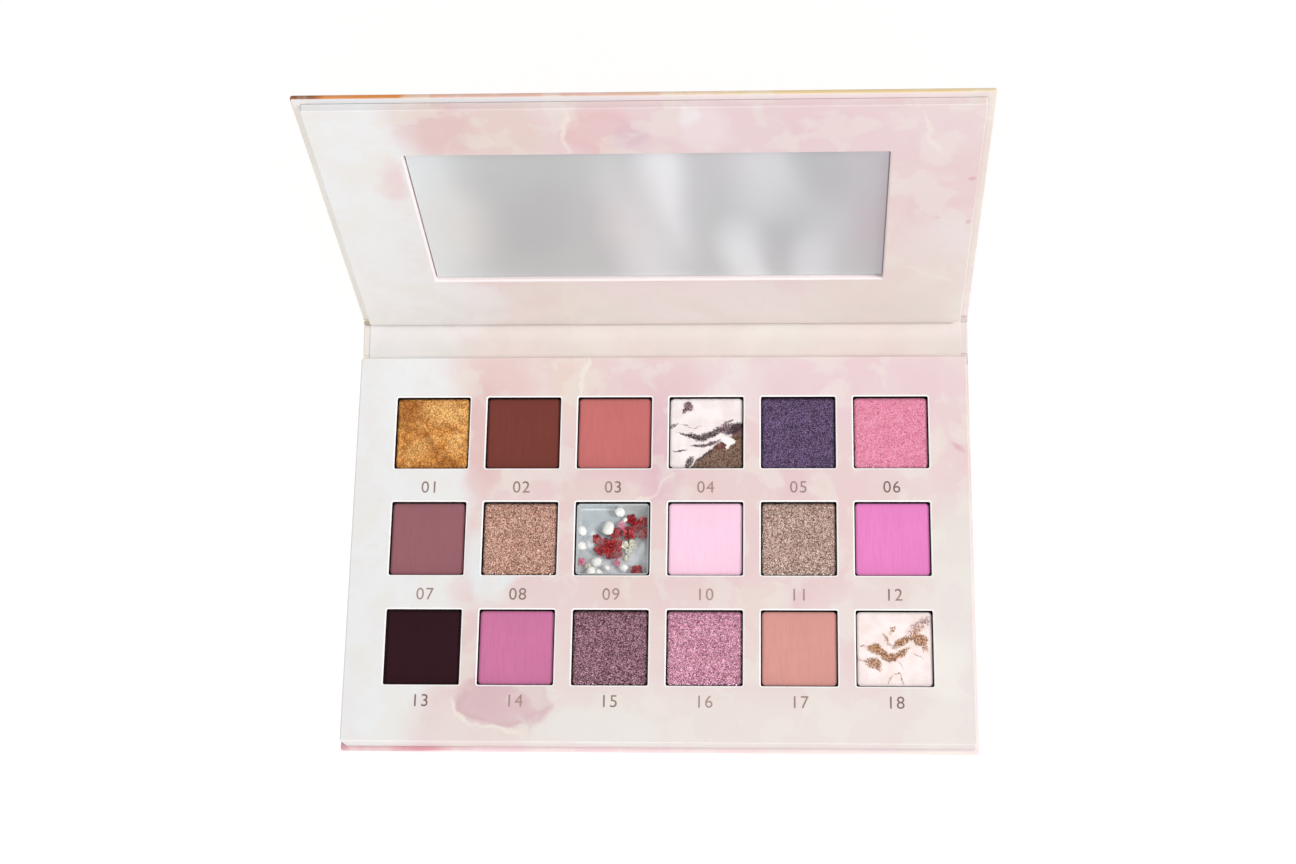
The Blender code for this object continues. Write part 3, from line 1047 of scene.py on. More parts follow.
GOLD_MARBLE = (
    stroke((-9.4, 0.2), (-4.8, 0.8), 3.0, GOLD, 0.94, 0.35),
    stroke((-6.8, 0.8), (-2.2, -3.2), 2.9, GOLD, 0.94, 0.35),
    stroke((-3.8, -3.0), (1.2, -2.8), 2.9, "9C6E4C", 0.94, 0.35),
    stroke((0.2, -3.0), (5.0, 0.2), 2.2, GOLD, 0.9, 0.4),
    stroke((-0.4, 0.8), (5.4, 4.2), 2.6, GOLD, 0.94, 0.35),
    Wash((8.4, 3.2), (3.2, 1.9), GOLD, 0.94, -20, 0.3),
    stroke((9.4, 1.4), (11.2, -0.8), 1.8, SAND, 0.8),
    stroke((6.6, 1.6), (6.0, 3.4), 0.8, MILK, 0.7),
    Wash((-7.2, -4.8), (2.6, 1.8), GOLD, 0.9, -20, 0.35),
    stroke((-6.8, -5.4), (-5.0, -7.8), 1.4, SAND, 0.85),
    stroke((-12.0, -3.4), (-8.4, -4.6), 0.8, SAND, 0.7),
    stroke((4.6, 5.6), (12.4, 10.8), 3.4, "B5948F", 0.8, 0.5),
    stroke((6.0, 5.0), (9.4, 7.6), 2.0, SAND, 0.75),
    stroke((-1.6, 5.2), (0.2, 7.8), 1.5, SAND, 0.85),
    stroke((-3.8, 5.2), (-2.0, 2.0), 1.1, SAND, 0.8),
    stroke((-2.2, 2.0), (0.8, -0.2), 0.7, "8E8078", 0.6),
    stroke((-2.6, -12.2), (-0.6, -8.6), 0.35, SAND, 0.8),
    stroke((-0.6, -8.6), (1.6, -8.2), 0.35, SAND, 0.8),
    stroke((1.4, -8.2), (3.2, -12.6), 0.4, SAND, 0.8),
    stroke((0.6, -3.6), (3.0, -6.8), 0.35, SAND, 0.7),
    stroke((5.6, -1.6), (9.6, -2.8), 0.5, "9C8A82", 0.6),
    stroke((-12.0, 1.2), (-9.8, 0.6), 0.4, SAND, 0.7),
)

# Painted shade along the amber cake's folds, in rust-brown strokes, and painted light on its raised parts, in
# pale honey pools.
FOLD_SHADE, FOLD_LIGHT = "8E4A10", "FBCC84"
AMBER_FOLD_SHADE_AND_LIGHT = (
    Wash((-9, 8), (5.5, 6), FOLD_SHADE, 0.7, 20, 0.5),
    stroke((-12, 3), (-4, -1), 3.0, FOLD_SHADE, 0.45, 0.7),
    stroke((-5, 2), (2, -8), 3.2, FOLD_SHADE, 0.6, 0.7),
    stroke((1, -7), (11, -13), 4.0, FOLD_SHADE, 0.6, 0.7),
    stroke((1, 4), (11, 0), 1.8, FOLD_SHADE, 0.45, 0.7),
    stroke((-12, -12), (12, -12.6), 2.0, FOLD_SHADE, 0.6, 0.8),
    Wash((5, 8), (8, 4.5), FOLD_LIGHT, 0.6, -10, 0.6),
    Wash((-6, -6), (5, 3), FOLD_LIGHT, 0.45, 30, 0.6),
    Wash((9, -4), (3, 4), FOLD_LIGHT, 0.45, 0, 0.6),
)

SHADES = (
    PressedPowder("amber_shimmer", Texture.CRUMPLED, "DE9545", "FBC97E", "95551B", AMBER_FOLD_SHADE_AND_LIGHT),
    PressedPowder("brick_matte", Texture.MATTE, "733A32"),
    PressedPowder("coral_matte", Texture.MATTE, "BF6C6A"),
    PressedPowder("cream_brown_marble", Texture.MARBLED, "E4D8D6", "EDE5E3", strokes=BROWN_MARBLE),
    PressedPowder("indigo_shimmer", Texture.SHIMMER, "3A2545", "8A6F9E", "21142B"),
    PressedPowder("rose_shimmer", Texture.SHIMMER, "E27D9F", "F7B1C7", "C1607E"),
    PressedPowder("mauve_brown_matte", Texture.MATTE, "935F66"),
    PressedPowder("copper_glitter", Texture.GLITTER, "BC8470", "F4CFBD", "744A3C"),
    None,
    PressedPowder("pale_pink_matte", Texture.MATTE, "F8C9DE"),
    PressedPowder("taupe_glitter", Texture.GLITTER, "A47E71", "F2DACD", "6A4D43"),
    PressedPowder("orchid_matte", Texture.MATTE, "E07FBC"),
    PressedPowder("aubergine_matte", Texture.MATTE, "2E141B"),
    PressedPowder("mauve_pink_matte", Texture.MATTE, "C6739B"),
    PressedPowder("plum_glitter", Texture.GLITTER, "754556", "CFA2B0", "41212E"),
    PressedPowder("pink_glitter", Texture.GLITTER, "C87C97", "FAC8DA", "844A64"),
    PressedPowder("peach_matte", Texture.MATTE, "CF938B"),
    PressedPowder("cream_gold_marble", Texture.MARBLED, "E9D8D4", "F1E5E2", strokes=GOLD_MARBLE),
)


@dataclass(frozen=True)
class ClearGel:
    """Clear set gel: nearly all of the light goes through it, and its skin is glossy.

    Attributes:
        name: its material's name.
        veil: how much of what lies under it the gel hides.
    """

    name: str
    veil: float

    def build(self) -> Material:
        """A faint blue-grey veil with a wet gloss.

        Returns:
            The material.
        """
        graph = Graph(self.name)
        point = graph.millimetres()
        swirl = graph.noise(point, 0.22, 3.0).outputs[0]
        colour = graph.mix(graph.remap(swirl, 0.35, 0.65), ink("C9CFD6"), ink("EEF1F4"))
        alpha = graph.remap(swirl, 0.3, 0.7, (self.veil - 0.05, self.veil + 0.08))
        normal = graph.bump(swirl, 0.5, 0.6)
        return graph.dress(Base_Color=colour, Alpha=alpha, Roughness=0.05, Normal=normal)


@dataclass(frozen=True)
class DriedFlower:
    """A dried petal or bud, darker in some blotches and veins.

    Attributes:
        name: its material's name.
        light: sRGB code of its lighter patches.
        dark: sRGB code of its darker patches.
    """

    name: str
    light: str
    dark: str

    def build(self) -> Material:
        """Mixes veins and blotches.

        Returns:
            The material.
        """
        graph = Graph(self.name)
        point = graph.millimetres()
        blotch = graph.noise(point, 0.9, 4.0, 0.65).outputs[0]
        veins = graph.noise(graph.vector("MULTIPLY", point, (4.0, 1.2, 2.0)), 1.0, 3.0).outputs[0]
        tone = graph.math("ADD", graph.math("MULTIPLY", blotch, 0.6), graph.math("MULTIPLY", veins, 0.4))
        colour = graph.mix(graph.remap(tone, 0.38, 0.6), ink(self.dark), ink(self.light))
        return graph.dress(Base_Color=colour, Roughness=0.45, Normal=graph.bump(veins, 0.5, 0.12))


@dataclass(frozen=True)
class Backdrop:
    """Plain pale studio floor.

    Attributes:
        name: its material's name.
        colour: its sRGB code.
        glow: how much light it gives off, like a light table.
    """

    name: str
    colour: str
    glow: float = 0.64

    def build(self) -> Material:
        """A matte surface with the least drift of tone.

        Returns:
            The material.
        """
        graph = Graph(self.name)
        drift = graph.noise(graph.millimetres(), 0.004, 2.0).outputs[0]
        light = ink(self.colour)
        dark = tuple(0.985 * part for part in light)
        colour = graph.mix(drift, dark, light)
        return graph.dress(
            Base_Color=colour,
            Roughness=0.9,
            Specular_IOR_Level=0.1,
            Emission_Color=light,
            Emission_Strength=self.glow,
        )


# ----------------------------------------------------------------------------------------------------
# Mesh work
# ----------------------------------------------------------------------------------------------------


def middle_of(low: Vector, high: Vector) -> Point:
    """The middle of a box, seen from above."""
    return (low.x + high.x) / 2, (low.y + high.y) / 2


def rounded_rectangle(size: Point, radius: float, centre: Point = (0.0, 0.0)) -> list[Point]:
    """Corner points of a rectangle with round corners, anticlockwise.

    Args:
        size: its width and depth.
        radius: radius of its corners.
        centre: its middle.

    Returns:
        The points.
    """
    points = []
    for quarter in range(4):
        middle = math.radians(45 + 90 * quarter)
        arc_x = centre[0] + math.copysign(size[0] / 2 - radius, math.cos(middle))
        arc_y = centre[1] + math.copysign(size[1] / 2 - radius, math.sin(middle))
        for step in range(CORNER_STEPS + 1):
            angle = math.radians(90 * (quarter + step / CORNER_STEPS))
            points.append((arc_x + radius * math.cos(angle), arc_y + radius * math.sin(angle)))
    return points


def rounded_edge(low: float, high: float, below: float, above: float) -> list[Point]:
    """Inset and height of each loop of a slab whose bottom and top edges are round.

    Args:
        low: its lowest height.
        high: its highest height.
        below: radius of its bottom edge.
        above: radius of its top edge.

    Returns:
        The insets and heights, from the bottom up.
    """
    loops = []
    for step in range(EDGE_STEPS + 1) if below else (0,):
        angle = math.radians(90 * step / EDGE_STEPS)
        loops.append((below * (1 - math.sin(angle)), low + below * (1 - math.cos(angle))))
    for step in range(EDGE_STEPS + 1) if above else (0,):
        angle = math.radians(90 * step / EDGE_STEPS)
        loops.append((above * (1 - math.cos(angle)), high - above * (1 - math.sin(angle))))
    return loops


def round_corner(x: float, y: float, half: float, radius: float) -> Point:
    """Moves a point of a square grid so that the square's corners become round.

    Args:
        x: its place along X.
        y: its place along Y.
        half: half the square's side.
        radius: radius of the corners.

    Returns:
        Its new place.
    """
    dx, dy = abs(x) - (half - radius), abs(y) - (half - radius)
    if dx <= 0 or dy <= 0:
        return x, y
    share = max(dx, dy) / math.hypot(dx, dy)
    return (
        math.copysign(half - radius + dx * share, x),
        math.copysign(half - radius + dy * share, y),
    )


class Mould:
    """Bodies that are built one by one and cast as one piece."""

    def __init__(self, name: str) -> None:
        """Starts an empty piece."""
        self.name = name
        self.mesh = bmesh.new()

    def stack(self, loops: Sequence[Sequence[Sequence[float]]]) -> None:
        """Adds a closed body: each loop is bridged to the next, and the first and last are capped.

        Args:
            loops: loops of points, all of one length and turning the same way.
        """
        rings = [[self.mesh.verts.new(point) for point in loop] for loop in loops]
        self.mesh.faces.new(list(reversed(rings[0])))
        self.mesh.faces.new(rings[-1])
        count = len(rings[0])
        for lower, upper in zip(rings, rings[1:]):
            for i in range(count):
                j = (i + 1) % count
                self.mesh.faces.new((lower[i], lower[j], upper[j], upper[i]))

    def slab(self, low: Vector, high: Vector, corner: float, below: float, above: float) -> None:
        """Adds a slab with round corners and round edges.

        Args:
            low: its lowest corner.
            high: its highest corner.
            corner: radius of its upright edges.
            below: radius of its bottom edge.
            above: radius of its top edge.
        """
        size, centre = high - low, (high + low) / 2
        loops = []
        for inset, height in rounded_edge(low.z, high.z, below, above):
            plan = (size.x - 2 * inset, size.y - 2 * inset)
            outline = rounded_rectangle(plan, max(corner - inset, LEAST_RADIUS), (centre.x, centre.y))
            loops.append([(x, y, height) for x, y in outline])
        self.stack(loops)

    def cushion(
        self, half: float, corner: float, cells: int, foot: float, height: Callable[[float, float], float]
    ) -> None:
        """Adds a square block whose top is a fine grid that can swell and dip.

        Args:
            half: half its side.
            corner: radius of its upright edges.
            cells: squares along one side of its top.
            foot: height of its underside.
            height: gives the top's height at a place on the grid.
        """
        places = [half * (2 * i / cells - 1) for i in range(cells + 1)]
        rows = []
        for y in places:
            heights = [(*round_corner(x, y, half, corner), height(x, y)) for x in places]
            rows.append([self.mesh.verts.new(point) for point in heights])
        for lower, upper in zip(rows, rows[1:]):
            for i in range(cells):
                self.mesh.faces.new((lower[i], lower[i + 1], upper[i + 1], upper[i]))
        sides = [row[-1] for row in rows[:-1]], [row[0] for row in rows[:0:-1]]
        rim = rows[0][:-1] + sides[0] + rows[-1][:0:-1] + sides[1]
        base = [self.mesh.verts.new((vertex.co.x, vertex.co.y, foot)) for vertex in rim]
        for i, vertex in enumerate(rim):
            j = (i + 1) % len(rim)
            self.mesh.faces.new((vertex, base[i], base[j], rim[j]))
        self.mesh.faces.new(base)

    def cast(self, finishes: Sequence[Material] = (), place: Matrix | None = None) -> Piece:
        """Makes the piece.

        Args:
            finishes: its materials.
            place: where its own axes stand in the frame.

        Returns:
            The piece.
        """
        bmesh.ops.recalc_face_normals(self.mesh, faces=self.mesh.faces)
        data = bpy.data.meshes.new(self.name)
        self.mesh.to_mesh(data)
        self.mesh.free()
        for finish in finishes:
            data.materials.append(finish)
        piece = bpy.data.objects.new(self.name, data)
        bpy.context.scene.collection.objects.link(piece)
        if place:
            piece.matrix_world = place
        return piece


def carve(target: Piece, cutter: Piece) -> None:
    """Cuts one piece out of another for good, and removes the cutter.

    Args:
        target: the piece that is cut.
        cutter: the shape that is taken away.
    """
    cutter.matrix_world = target.matrix_world
    modifier = target.modifiers.new("carve", "BOOLEAN")
    modifier.solver = "EXACT"
    modifier.object = cutter
    bpy.context.view_layer.update()
    carved = bpy.data.meshes.new_from_object(target.evaluated_get(bpy.context.evaluated_depsgraph_get()))
    target.modifiers.remove(modifier)
    worn = target.data
    target.data = carved
    bpy.data.meshes.remove(worn)
    carved.name = target.name
    bpy.data.objects.remove(cutter)


def refinish(piece: Piece, index: int, chosen: Callable[[bpy.types.MeshPolygon], bool]) -> None:
    """Gives some faces another of the piece's materials.

    Args:
        piece: the piece.
        index: the material's place in its list.
        chosen: says whether a face is one of them.
    """
    for face in piece.data.polygons:
        if chosen(face):
            face.material_index = index


def soften(piece: Piece) -> Piece:
    """Shades a piece smooth with flat faces kept flat.

    Args:
        piece: the piece.

    Returns:
        The same piece.
    """
    piece.data.shade_smooth()
    piece.data.set_sharp_from_angle(angle=SHARP_ANGLE)
    piece.modifiers.new("face_weighted", "WEIGHTED_NORMAL").keep_sharp = True
    return piece


def mount(piece: Piece, body: str, slot: str, *nodes: str) -> Piece:
    """Puts a piece on its body and hides the nodes that it stands for.

    Args:
        piece: the piece.
        body: the body that it rides on.
        slot: not used.
        *nodes: the nodes that it replaces.

    Returns:
        The same piece.
    """
    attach(piece, body)
    if nodes:
        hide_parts(*nodes)
    return piece


@dataclass(frozen=True)
class HingeAxes:
    """The axes of a board on its hinge: X along the hinge, Y along the board and Z out of its inner face.

    Attributes:
        pivot: a point on the hinge line.
        lean: the board's angle above the table in radians.
    """

    pivot: Vector
    lean: float

    @classmethod
    def of(cls, joint_name: str, board: str) -> "HingeAxes":
        """Reads the axes from the frame.

        Args:
            joint_name: the hinge.
            board: the node that swings on it.

        Returns:
            The axes.
        """
        joint = next(joint for joint in frame["joints"] if joint["name"] == joint_name)
        pivot = Vector(joint["pos_m"])
        arms = [vertex.co - pivot for vertex in frame["nodes"][board].data.vertices]
        reach = max(math.hypot(arm.y, arm.z) for arm in arms)
        tips = [arm for arm in arms if math.hypot(arm.y, arm.z) > reach - CUT_MARGIN / 4]
        tip = sum(tips, Vector()) / len(tips)
        return cls(pivot, math.atan2(tip.z, tip.y))

    def matrix(self) -> Matrix:
        """Where these axes stand in the frame."""
        return Matrix.Translation(self.pivot) @ Matrix.Rotation(self.lean, 4, "X")

    def box(self, node: str) -> tuple[Vector, Vector]:
        """Measures a node along these axes.

        Args:
            node: its name.

        Returns:
            Its lowest and highest corner.
        """
        to_board = self.matrix().inverted()
        points = [to_board @ vertex.co for vertex in frame["nodes"][node].data.vertices]
        low = Vector([min(point[axis] for point in points) for axis in range(3)])
        high = Vector([max(point[axis] for point in points) for axis in range(3)])
        return low, high


# ----------------------------------------------------------------------------------------------------
# Cover, creases and spine
# ----------------------------------------------------------------------------------------------------


@dataclass
class Crease:
    """A strip of paper across one hinge, full at its ends and pinched to a groove on the hinge line.

    Attributes:
        name: the piece's name.
        bodies: the two bodies that it joins.
        start: the axes of the board before the hinge.
        axes: the axes of the board after the hinge.
        width: its length along the hinge.
        arm: how far it reaches each way from the hinge line.
        levels: its outer and inner height at its ends, from the boards' middle.
        pinch: its outer and inner height on the hinge line.
        sheet_offset: where the hinge line lies on the print, in metres.
        fillet: how far from the hinge line the bend starts.
        steps: segments in the bend and in each arm.
    """

    name: str
    bodies: tuple[str, str]
    start: float
    axes: HingeAxes
    width: float
    arm: float
    levels: Point
    pinch: Point
    sheet_offset: float = 0.0
    fillet: float = 0.8 * MM
    steps: int = 8

    def centreline(self) -> Iterator[tuple[Vector, Vector, float]]:
        """Walks across the bend.

        Yields:
            A point, the direction of the inner side, and the distance from the hinge line.
        """
        turn = self.axes.lean - self.start
        radius = self.fillet / math.tan(turn / 2)
        before = Vector((0.0, math.cos(self.start), math.sin(self.start)))
        after = Vector((0.0, math.cos(self.axes.lean), math.sin(self.axes.lean)))
        inward = Vector((0.0, -before.z, before.y))
        hub = self.axes.pivot - self.fillet * before + radius * inward
        for step in range(self.steps):
            along = -self.arm + (self.arm - self.fillet) * step / self.steps
            yield self.axes.pivot + along * before, inward, along
        for step in range(self.steps + 1):
            share = step / self.steps
            spin = Matrix.Rotation(turn * share, 3, "X")
            side = spin @ inward
            yield hub - radius * side, side, self.fillet * (2 * share - 1)
        outward = Vector((0.0, -after.z, after.y))
        for step in range(1, self.steps + 1):
            along = self.fillet + (self.arm - self.fillet) * step / self.steps
            yield self.axes.pivot + along * after, outward, along

    def build(self, finish: Material, slot: str, *nodes: str) -> Piece:
        """Lofts the strip along the hinge.

        Args:
            finish: its material, which reads the sheet's own coordinates.
            slot: not used.
            *nodes: the nodes that it replaces.

        Returns:
            The piece.
        """
        outer, inner, sheet = [], [], []
        for point, side, along in self.centreline():
            opened = math.sin(min(1.0, abs(along) / self.arm) * math.pi / 2) ** 2
            low = self.pinch[0] + (self.levels[0] - self.pinch[0]) * opened
            high = self.pinch[1] + (self.levels[1] - self.pinch[1]) * opened
            outer.append(point + low * side)
            inner.append(point + high * side)
            sheet.append(along + self.sheet_offset)
        profile = inner + outer[::-1]
        drawn = sheet + sheet[::-1]
        half = self.width / 2
        mould = Mould(self.name)
        mould.stack([[(x, point.y, point.z) for point in profile] for x in (-half, 0.0, half)])
        piece = mould.cast([finish])
        places = piece.data.uv_layers.new(name="sheet")
        for loop in piece.data.loops:
            vertex = piece.data.vertices[loop.vertex_index]
            places.data[loop.index].uv = (vertex.co.x, drawn[loop.vertex_index % len(profile)])
        soften(piece)
        half_turn = (self.axes.lean - self.start) / 2
        reach = self.arm * math.cos(half_turn) - max(map(abs, self.levels)) * math.sin(half_turn)
        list(self.bodies)
        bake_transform(piece)
        if nodes:
            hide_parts(*nodes)
        return piece


@dataclass
class Cover:
    """The wrapped boards of the case, joined by the two creases.

    Attributes:
        edge: radius of a wrapped board's edges.
        corner: radius of its corners.
        liner_lift: how far the spine's liner stands off the board.
        liner_card: the liner's thickness.
        wrap_pinch: height of the wrap's outer and inner side on a hinge line, as a share of its full height.
        liner_corner: radius of the liner's corners.
        liner_edge: radius of its top edge.
    """

    edge: float = 0.45 * MM
    corner: float = 0.9 * MM
    liner_lift: float = 0.04 * MM
    liner_card: float = 0.22 * MM
    wrap_pinch: Point = (-0.45, 0.25)
    liner_corner: float = 0.1 * MM
    liner_edge: float = 0.06 * MM

    def build(self) -> Iterator[Piece]:
        """Builds the boards, the creases and the liner.

        Yields:
            Each piece.
        """
        spine = HingeAxes.of("spine_hinge", "spine_board")
        lid = HingeAxes.of("lid_hinge", "lid_cover_board")
        outer = PrintedPaper("outer_wrap", WRAP, COVER_WASHES, COVER_VEINS).build()
        turned = PrintedPaper("wrap_turned_in", ("F1E8E6", "EFE0E2"), TURN_IN_WASHES).build()
        yield self.board("bottom_cover_wrap", "base", Matrix(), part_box("bottom_cover_board"), outer, turned)
        yield self.board("spine_wrap", "spine", spine.matrix(), spine.box("spine_board"), outer, turned)
        yield self.board("lid_cover_wrap", "lid", lid.matrix(), lid.box("lid_cover_board"), outer, turned)
        yield from self.creases(spine, lid)
        yield self.liner(spine, lid)

    def board(
        self,
        name: str,
        body: str,
        place: Matrix,
        box: tuple[Vector, Vector],
        outer: Material,
        turned: Material,
    ) -> Piece:
        """Wraps one board.

        Args:
            name: the piece's name, which ends in wrap where the node's ends in board.
            body: the body that it rides on.
            place: the board's own axes.
            box: its lowest and highest corner along them.
            outer: finish of the outside.
            turned: finish of the inner face.

        Returns:
            The piece.
        """
        mould = Mould(name)
        mould.slab(*box, self.corner, self.edge, self.edge)
        piece = soften(mould.cast([outer, turned], place))
        refinish(piece, 1, lambda face: face.normal.z > 0.9)
        return mount(piece, body, "cover_print", name.replace("wrap", "board"))

    def creases(self, spine: HingeAxes, lid: HingeAxes) -> Iterator[Piece]:
        """Creases the wrap and the liner over both hinges.

        Args:
            spine: axes of the spine.
            lid: axes of the lid.

        Yields:
            Each strip.
        """
        wrap = PrintedPaper(
            "creased_wrap", WRAP, COVER_WASHES, COVER_VEINS, space=Space.SHEET
        ).build()
        # A lighter copy of the lid's print: painted light where the lid shades the crease.
        liner = PrintedPaper(
            "creased_liner", SHEET, LID_WASHES, LID_VEINS, space=Space.SHEET, tone=LINER_TONE_WITH_PAINTED_LIGHT
        ).build()
        board_low, board_high = spine.box("spine_board")
        liner_low, liner_high = spine.box("spine_liner")
        width, liner_width = board_high.x - board_low.x, liner_high.x - liner_low.x
        arm, half = board_low.y, board_high.z
        groove = self.wrap_pinch[1] * half
        under = half + self.liner_lift
        for label, bodies, start, axes in (
            ("spine", ("base", "spine"), 0.0, spine),
            ("lid", ("spine", "lid"), spine.lean, lid),
        ):
            levels, pinch = (-half, half), (self.wrap_pinch[0] * half, groove)
            strip = Crease(f"{label}_crease_wrap", bodies, start, axes, width, arm, levels, pinch)
            yield strip.build(wrap, "cover_print", f"{label}_crease_paper")
            levels = (under, under + self.liner_card)
            pinch = (groove + self.liner_lift, groove + self.liner_lift + self.liner_card)
            offset = 0.0 if label == "lid" else -(lid.pivot - spine.pivot).length
            strip = Crease(
                f"{label}_crease_liner", bodies, start, axes, liner_width, arm, levels, pinch, offset
            )
            yield strip.build(liner, "face_print")

    def liner(self, spine: HingeAxes, lid: HingeAxes) -> Piece:
        """Lays the printed liner on the spine.

        Args:
            spine: axes of the spine.
            lid: axes of the lid.

        Returns:
            The piece.
        """
        length = (lid.pivot - spine.pivot).length
        # A lighter copy of the lid's print: painted light where the lid shades the spine.
        finish = PrintedPaper(
            "spine_liner_print",
            SHEET,
            LID_WASHES,
            LID_VEINS,
            shift=(0.0, -length / MM),
            tone=LINER_TONE_WITH_PAINTED_LIGHT,
        ).build()
        low, high = spine.box("spine_liner")
        under = spine.box("spine_board")[1].z + self.liner_lift
        mould = Mould("spine_liner_paper")
        low.z, high.z = under, under + self.liner_card
        mould.slab(low, high, self.liner_corner, 0.0, self.liner_edge)
        piece = soften(mould.cast([finish], spine.matrix()))
        return mount(piece, "spine", "face_print", "spine_liner")


# ----------------------------------------------------------------------------------------------------
# Tray
# ----------------------------------------------------------------------------------------------------


def pan_boxes() -> Iterator[tuple[int, Vector, Vector]]:
    """Number, lowest and highest corner of each pan, in order."""
    for number in range(1, PAN_COUNT + 1):
        yield number, *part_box(f"pan_{number:02d}")


@dataclass
class Tray:
    """The printed tray: its walls and its face card as one wrapped shell, and a numeral under each window.

    Attributes:
        edge: radius of the wrapped top edge.
        corner: radius of its upright edges.
        reveal: gap between a pan and its window.
        window_corner: radius of a window's corners.
        chamfer: width and depth of the white edge round a window.
        numeral_size: size of the type.
        numeral_drops: distance from a row's centre to its numerals, back row first.
        numeral_lift: height of the foil over the paper.
        numeral_spacing: space between its figures, as a share of the type's own.
        numeral_thinning: how far the figures' outline is drawn in.
        foil: thickness of the foil.
    """

    edge: float = 0.5 * MM
    corner: float = 0.8 * MM
    reveal: float = 0.15 * MM
    window_corner: float = 0.6 * MM
    chamfer: Point = (0.45 * MM, 0.3 * MM)
    numeral_size: float = 6.0 * MM
    numeral_drops: tuple[float, float, float] = (20.2 * MM, 20.1 * MM, 18.8 * MM)
    numeral_lift: float = 0.005 * MM
    numeral_spacing: float = 1.1
    numeral_thinning: float = 0.005 * MM
    foil: float = 0.02 * MM

    def build(self) -> Iterator[Piece]:
        """Builds the shell and the numerals.

        Yields:
            Each piece.
        """
        yield self.shell()
        yield self.numerals()

    def shell(self) -> Piece:
        """Casts the tray solid, hollows it and cuts its windows.

        Returns:
            The piece.
        """
        low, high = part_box("face_card")
        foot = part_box("tray_wall_front")[0].z
        face = PrintedPaper("tray_print", SHEET, TRAY_WASHES, TRAY_VEINS, fold_height=high.z / MM).build()
        white = CutCard("window_edge", "FBF8F7").build()
        # Near-black for the window walls: painted shade for the dark gap round each shade.
        black = CutCard("window_wall_painted_shade", "1C1414").build()
        mould = Mould("tray_shell")
        mould.slab(Vector((low.x, low.y, foot)), high, self.corner, 0.0, self.edge)
        piece = mould.cast([face, white, black])
        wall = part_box("tray_wall_left")[1].x - low.x
        hollow = Mould("hollow")
        inside = Vector((wall, wall, 0.0))
        hollow.slab(
            Vector((low.x, low.y, foot - CUT_MARGIN)) + inside,
            Vector((high.x, high.y, low.z)) - inside,
            self.corner,
            0.0,
            0.0,
        )
        carve(piece, hollow.cast())
        carve(piece, self.window_cutter(low.z, high.z))
        # The hidden undersides take the near-black too; on the window walls it is painted shade.
        refinish(piece, 2, lambda part: part.normal.z < -0.5)
        refinish(piece, 2, lambda part: abs(part.normal.z) < 0.05 and self.in_window(part.center))
        refinish(piece, 1, lambda part: 0.05 < part.normal.z < 0.95 and self.in_window(part.center))
        walls = [f"tray_wall_{side}" for side in ("front", "back", "left", "right")]
        return mount(soften(piece), "base", "face_print", "face_card", *walls)

    def window_cutter(self, low: float, high: float) -> Piece:
        """One cutter for all the windows, which opens out into the chamfer at the top.

        Args:
            low: height of the card's underside.
            high: height of its face.

        Returns:
            The cutter.
        """
        mould = Mould("windows")
        wide, deep = self.chamfer
        beyond = wide * CUT_MARGIN / deep
        for _, pan_low, pan_high in pan_boxes():
            side = pan_high.x - pan_low.x + 2 * self.reveal
            centre = middle_of(pan_low, pan_high)
            loops = []
            for grow, height in (
                (0.0, low - CUT_MARGIN),
                (0.0, high - deep),
                (wide + beyond, high + CUT_MARGIN),
            ):
                outline = rounded_rectangle(
                    (side + 2 * grow, side + 2 * grow), self.window_corner + grow, centre
                )
                loops.append([(x, y, height) for x, y in outline])
            mould.stack(loops)
        return mould.cast()

    def in_window(self, point: Vector) -> bool:
        """Says whether a point lies in a window or on its chamfer."""
        for _, low, high in pan_boxes():
            reach = (high.x - low.x) / 2 + self.reveal + self.chamfer[0]
            middle = (low + high) / 2
            if abs(point.x - middle.x) < reach and abs(point.y - middle.y) < reach:
                return True
        return False

    def numerals(self) -> Piece:
        """Stamps 01 to 18 in thin foil, one under each window.

        Returns:
            The piece.
        """
        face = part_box("face_card")[1].z
        mould = Mould("shade_numerals")
        for number, low, high in pan_boxes():
            curve = bpy.data.curves.new("numeral", "FONT")
            curve.body = f"{number:02d}"
            curve.size = self.numeral_size
            curve.align_x, curve.align_y = "CENTER", "CENTER"
            curve.space_character = self.numeral_spacing
            curve.offset = -self.numeral_thinning
            curve.extrude = self.foil / 2
            curve.resolution_u = 6
            text = bpy.data.objects.new("numeral", curve)
            data = bpy.data.meshes.new_from_object(text)
            drop = self.numeral_drops[(number - 1) // PANS_IN_ROW]
            middle = (low + high) / 2
            place = Vector((middle.x, middle.y - drop, face + self.numeral_lift + self.foil / 2))
            data.transform(Matrix.Translation(place))
            mould.mesh.from_mesh(data)
            bpy.data.objects.remove(text)
            bpy.data.curves.remove(curve)
            bpy.data.meshes.remove(data)
        piece = mould.cast([StampedFoil("rose_taupe_foil", "AE928C", "7C6662").build()])
        return mount(piece, "base", "face_print")


# ----------------------------------------------------------------------------------------------------
# Pans, shades and gel
# ----------------------------------------------------------------------------------------------------


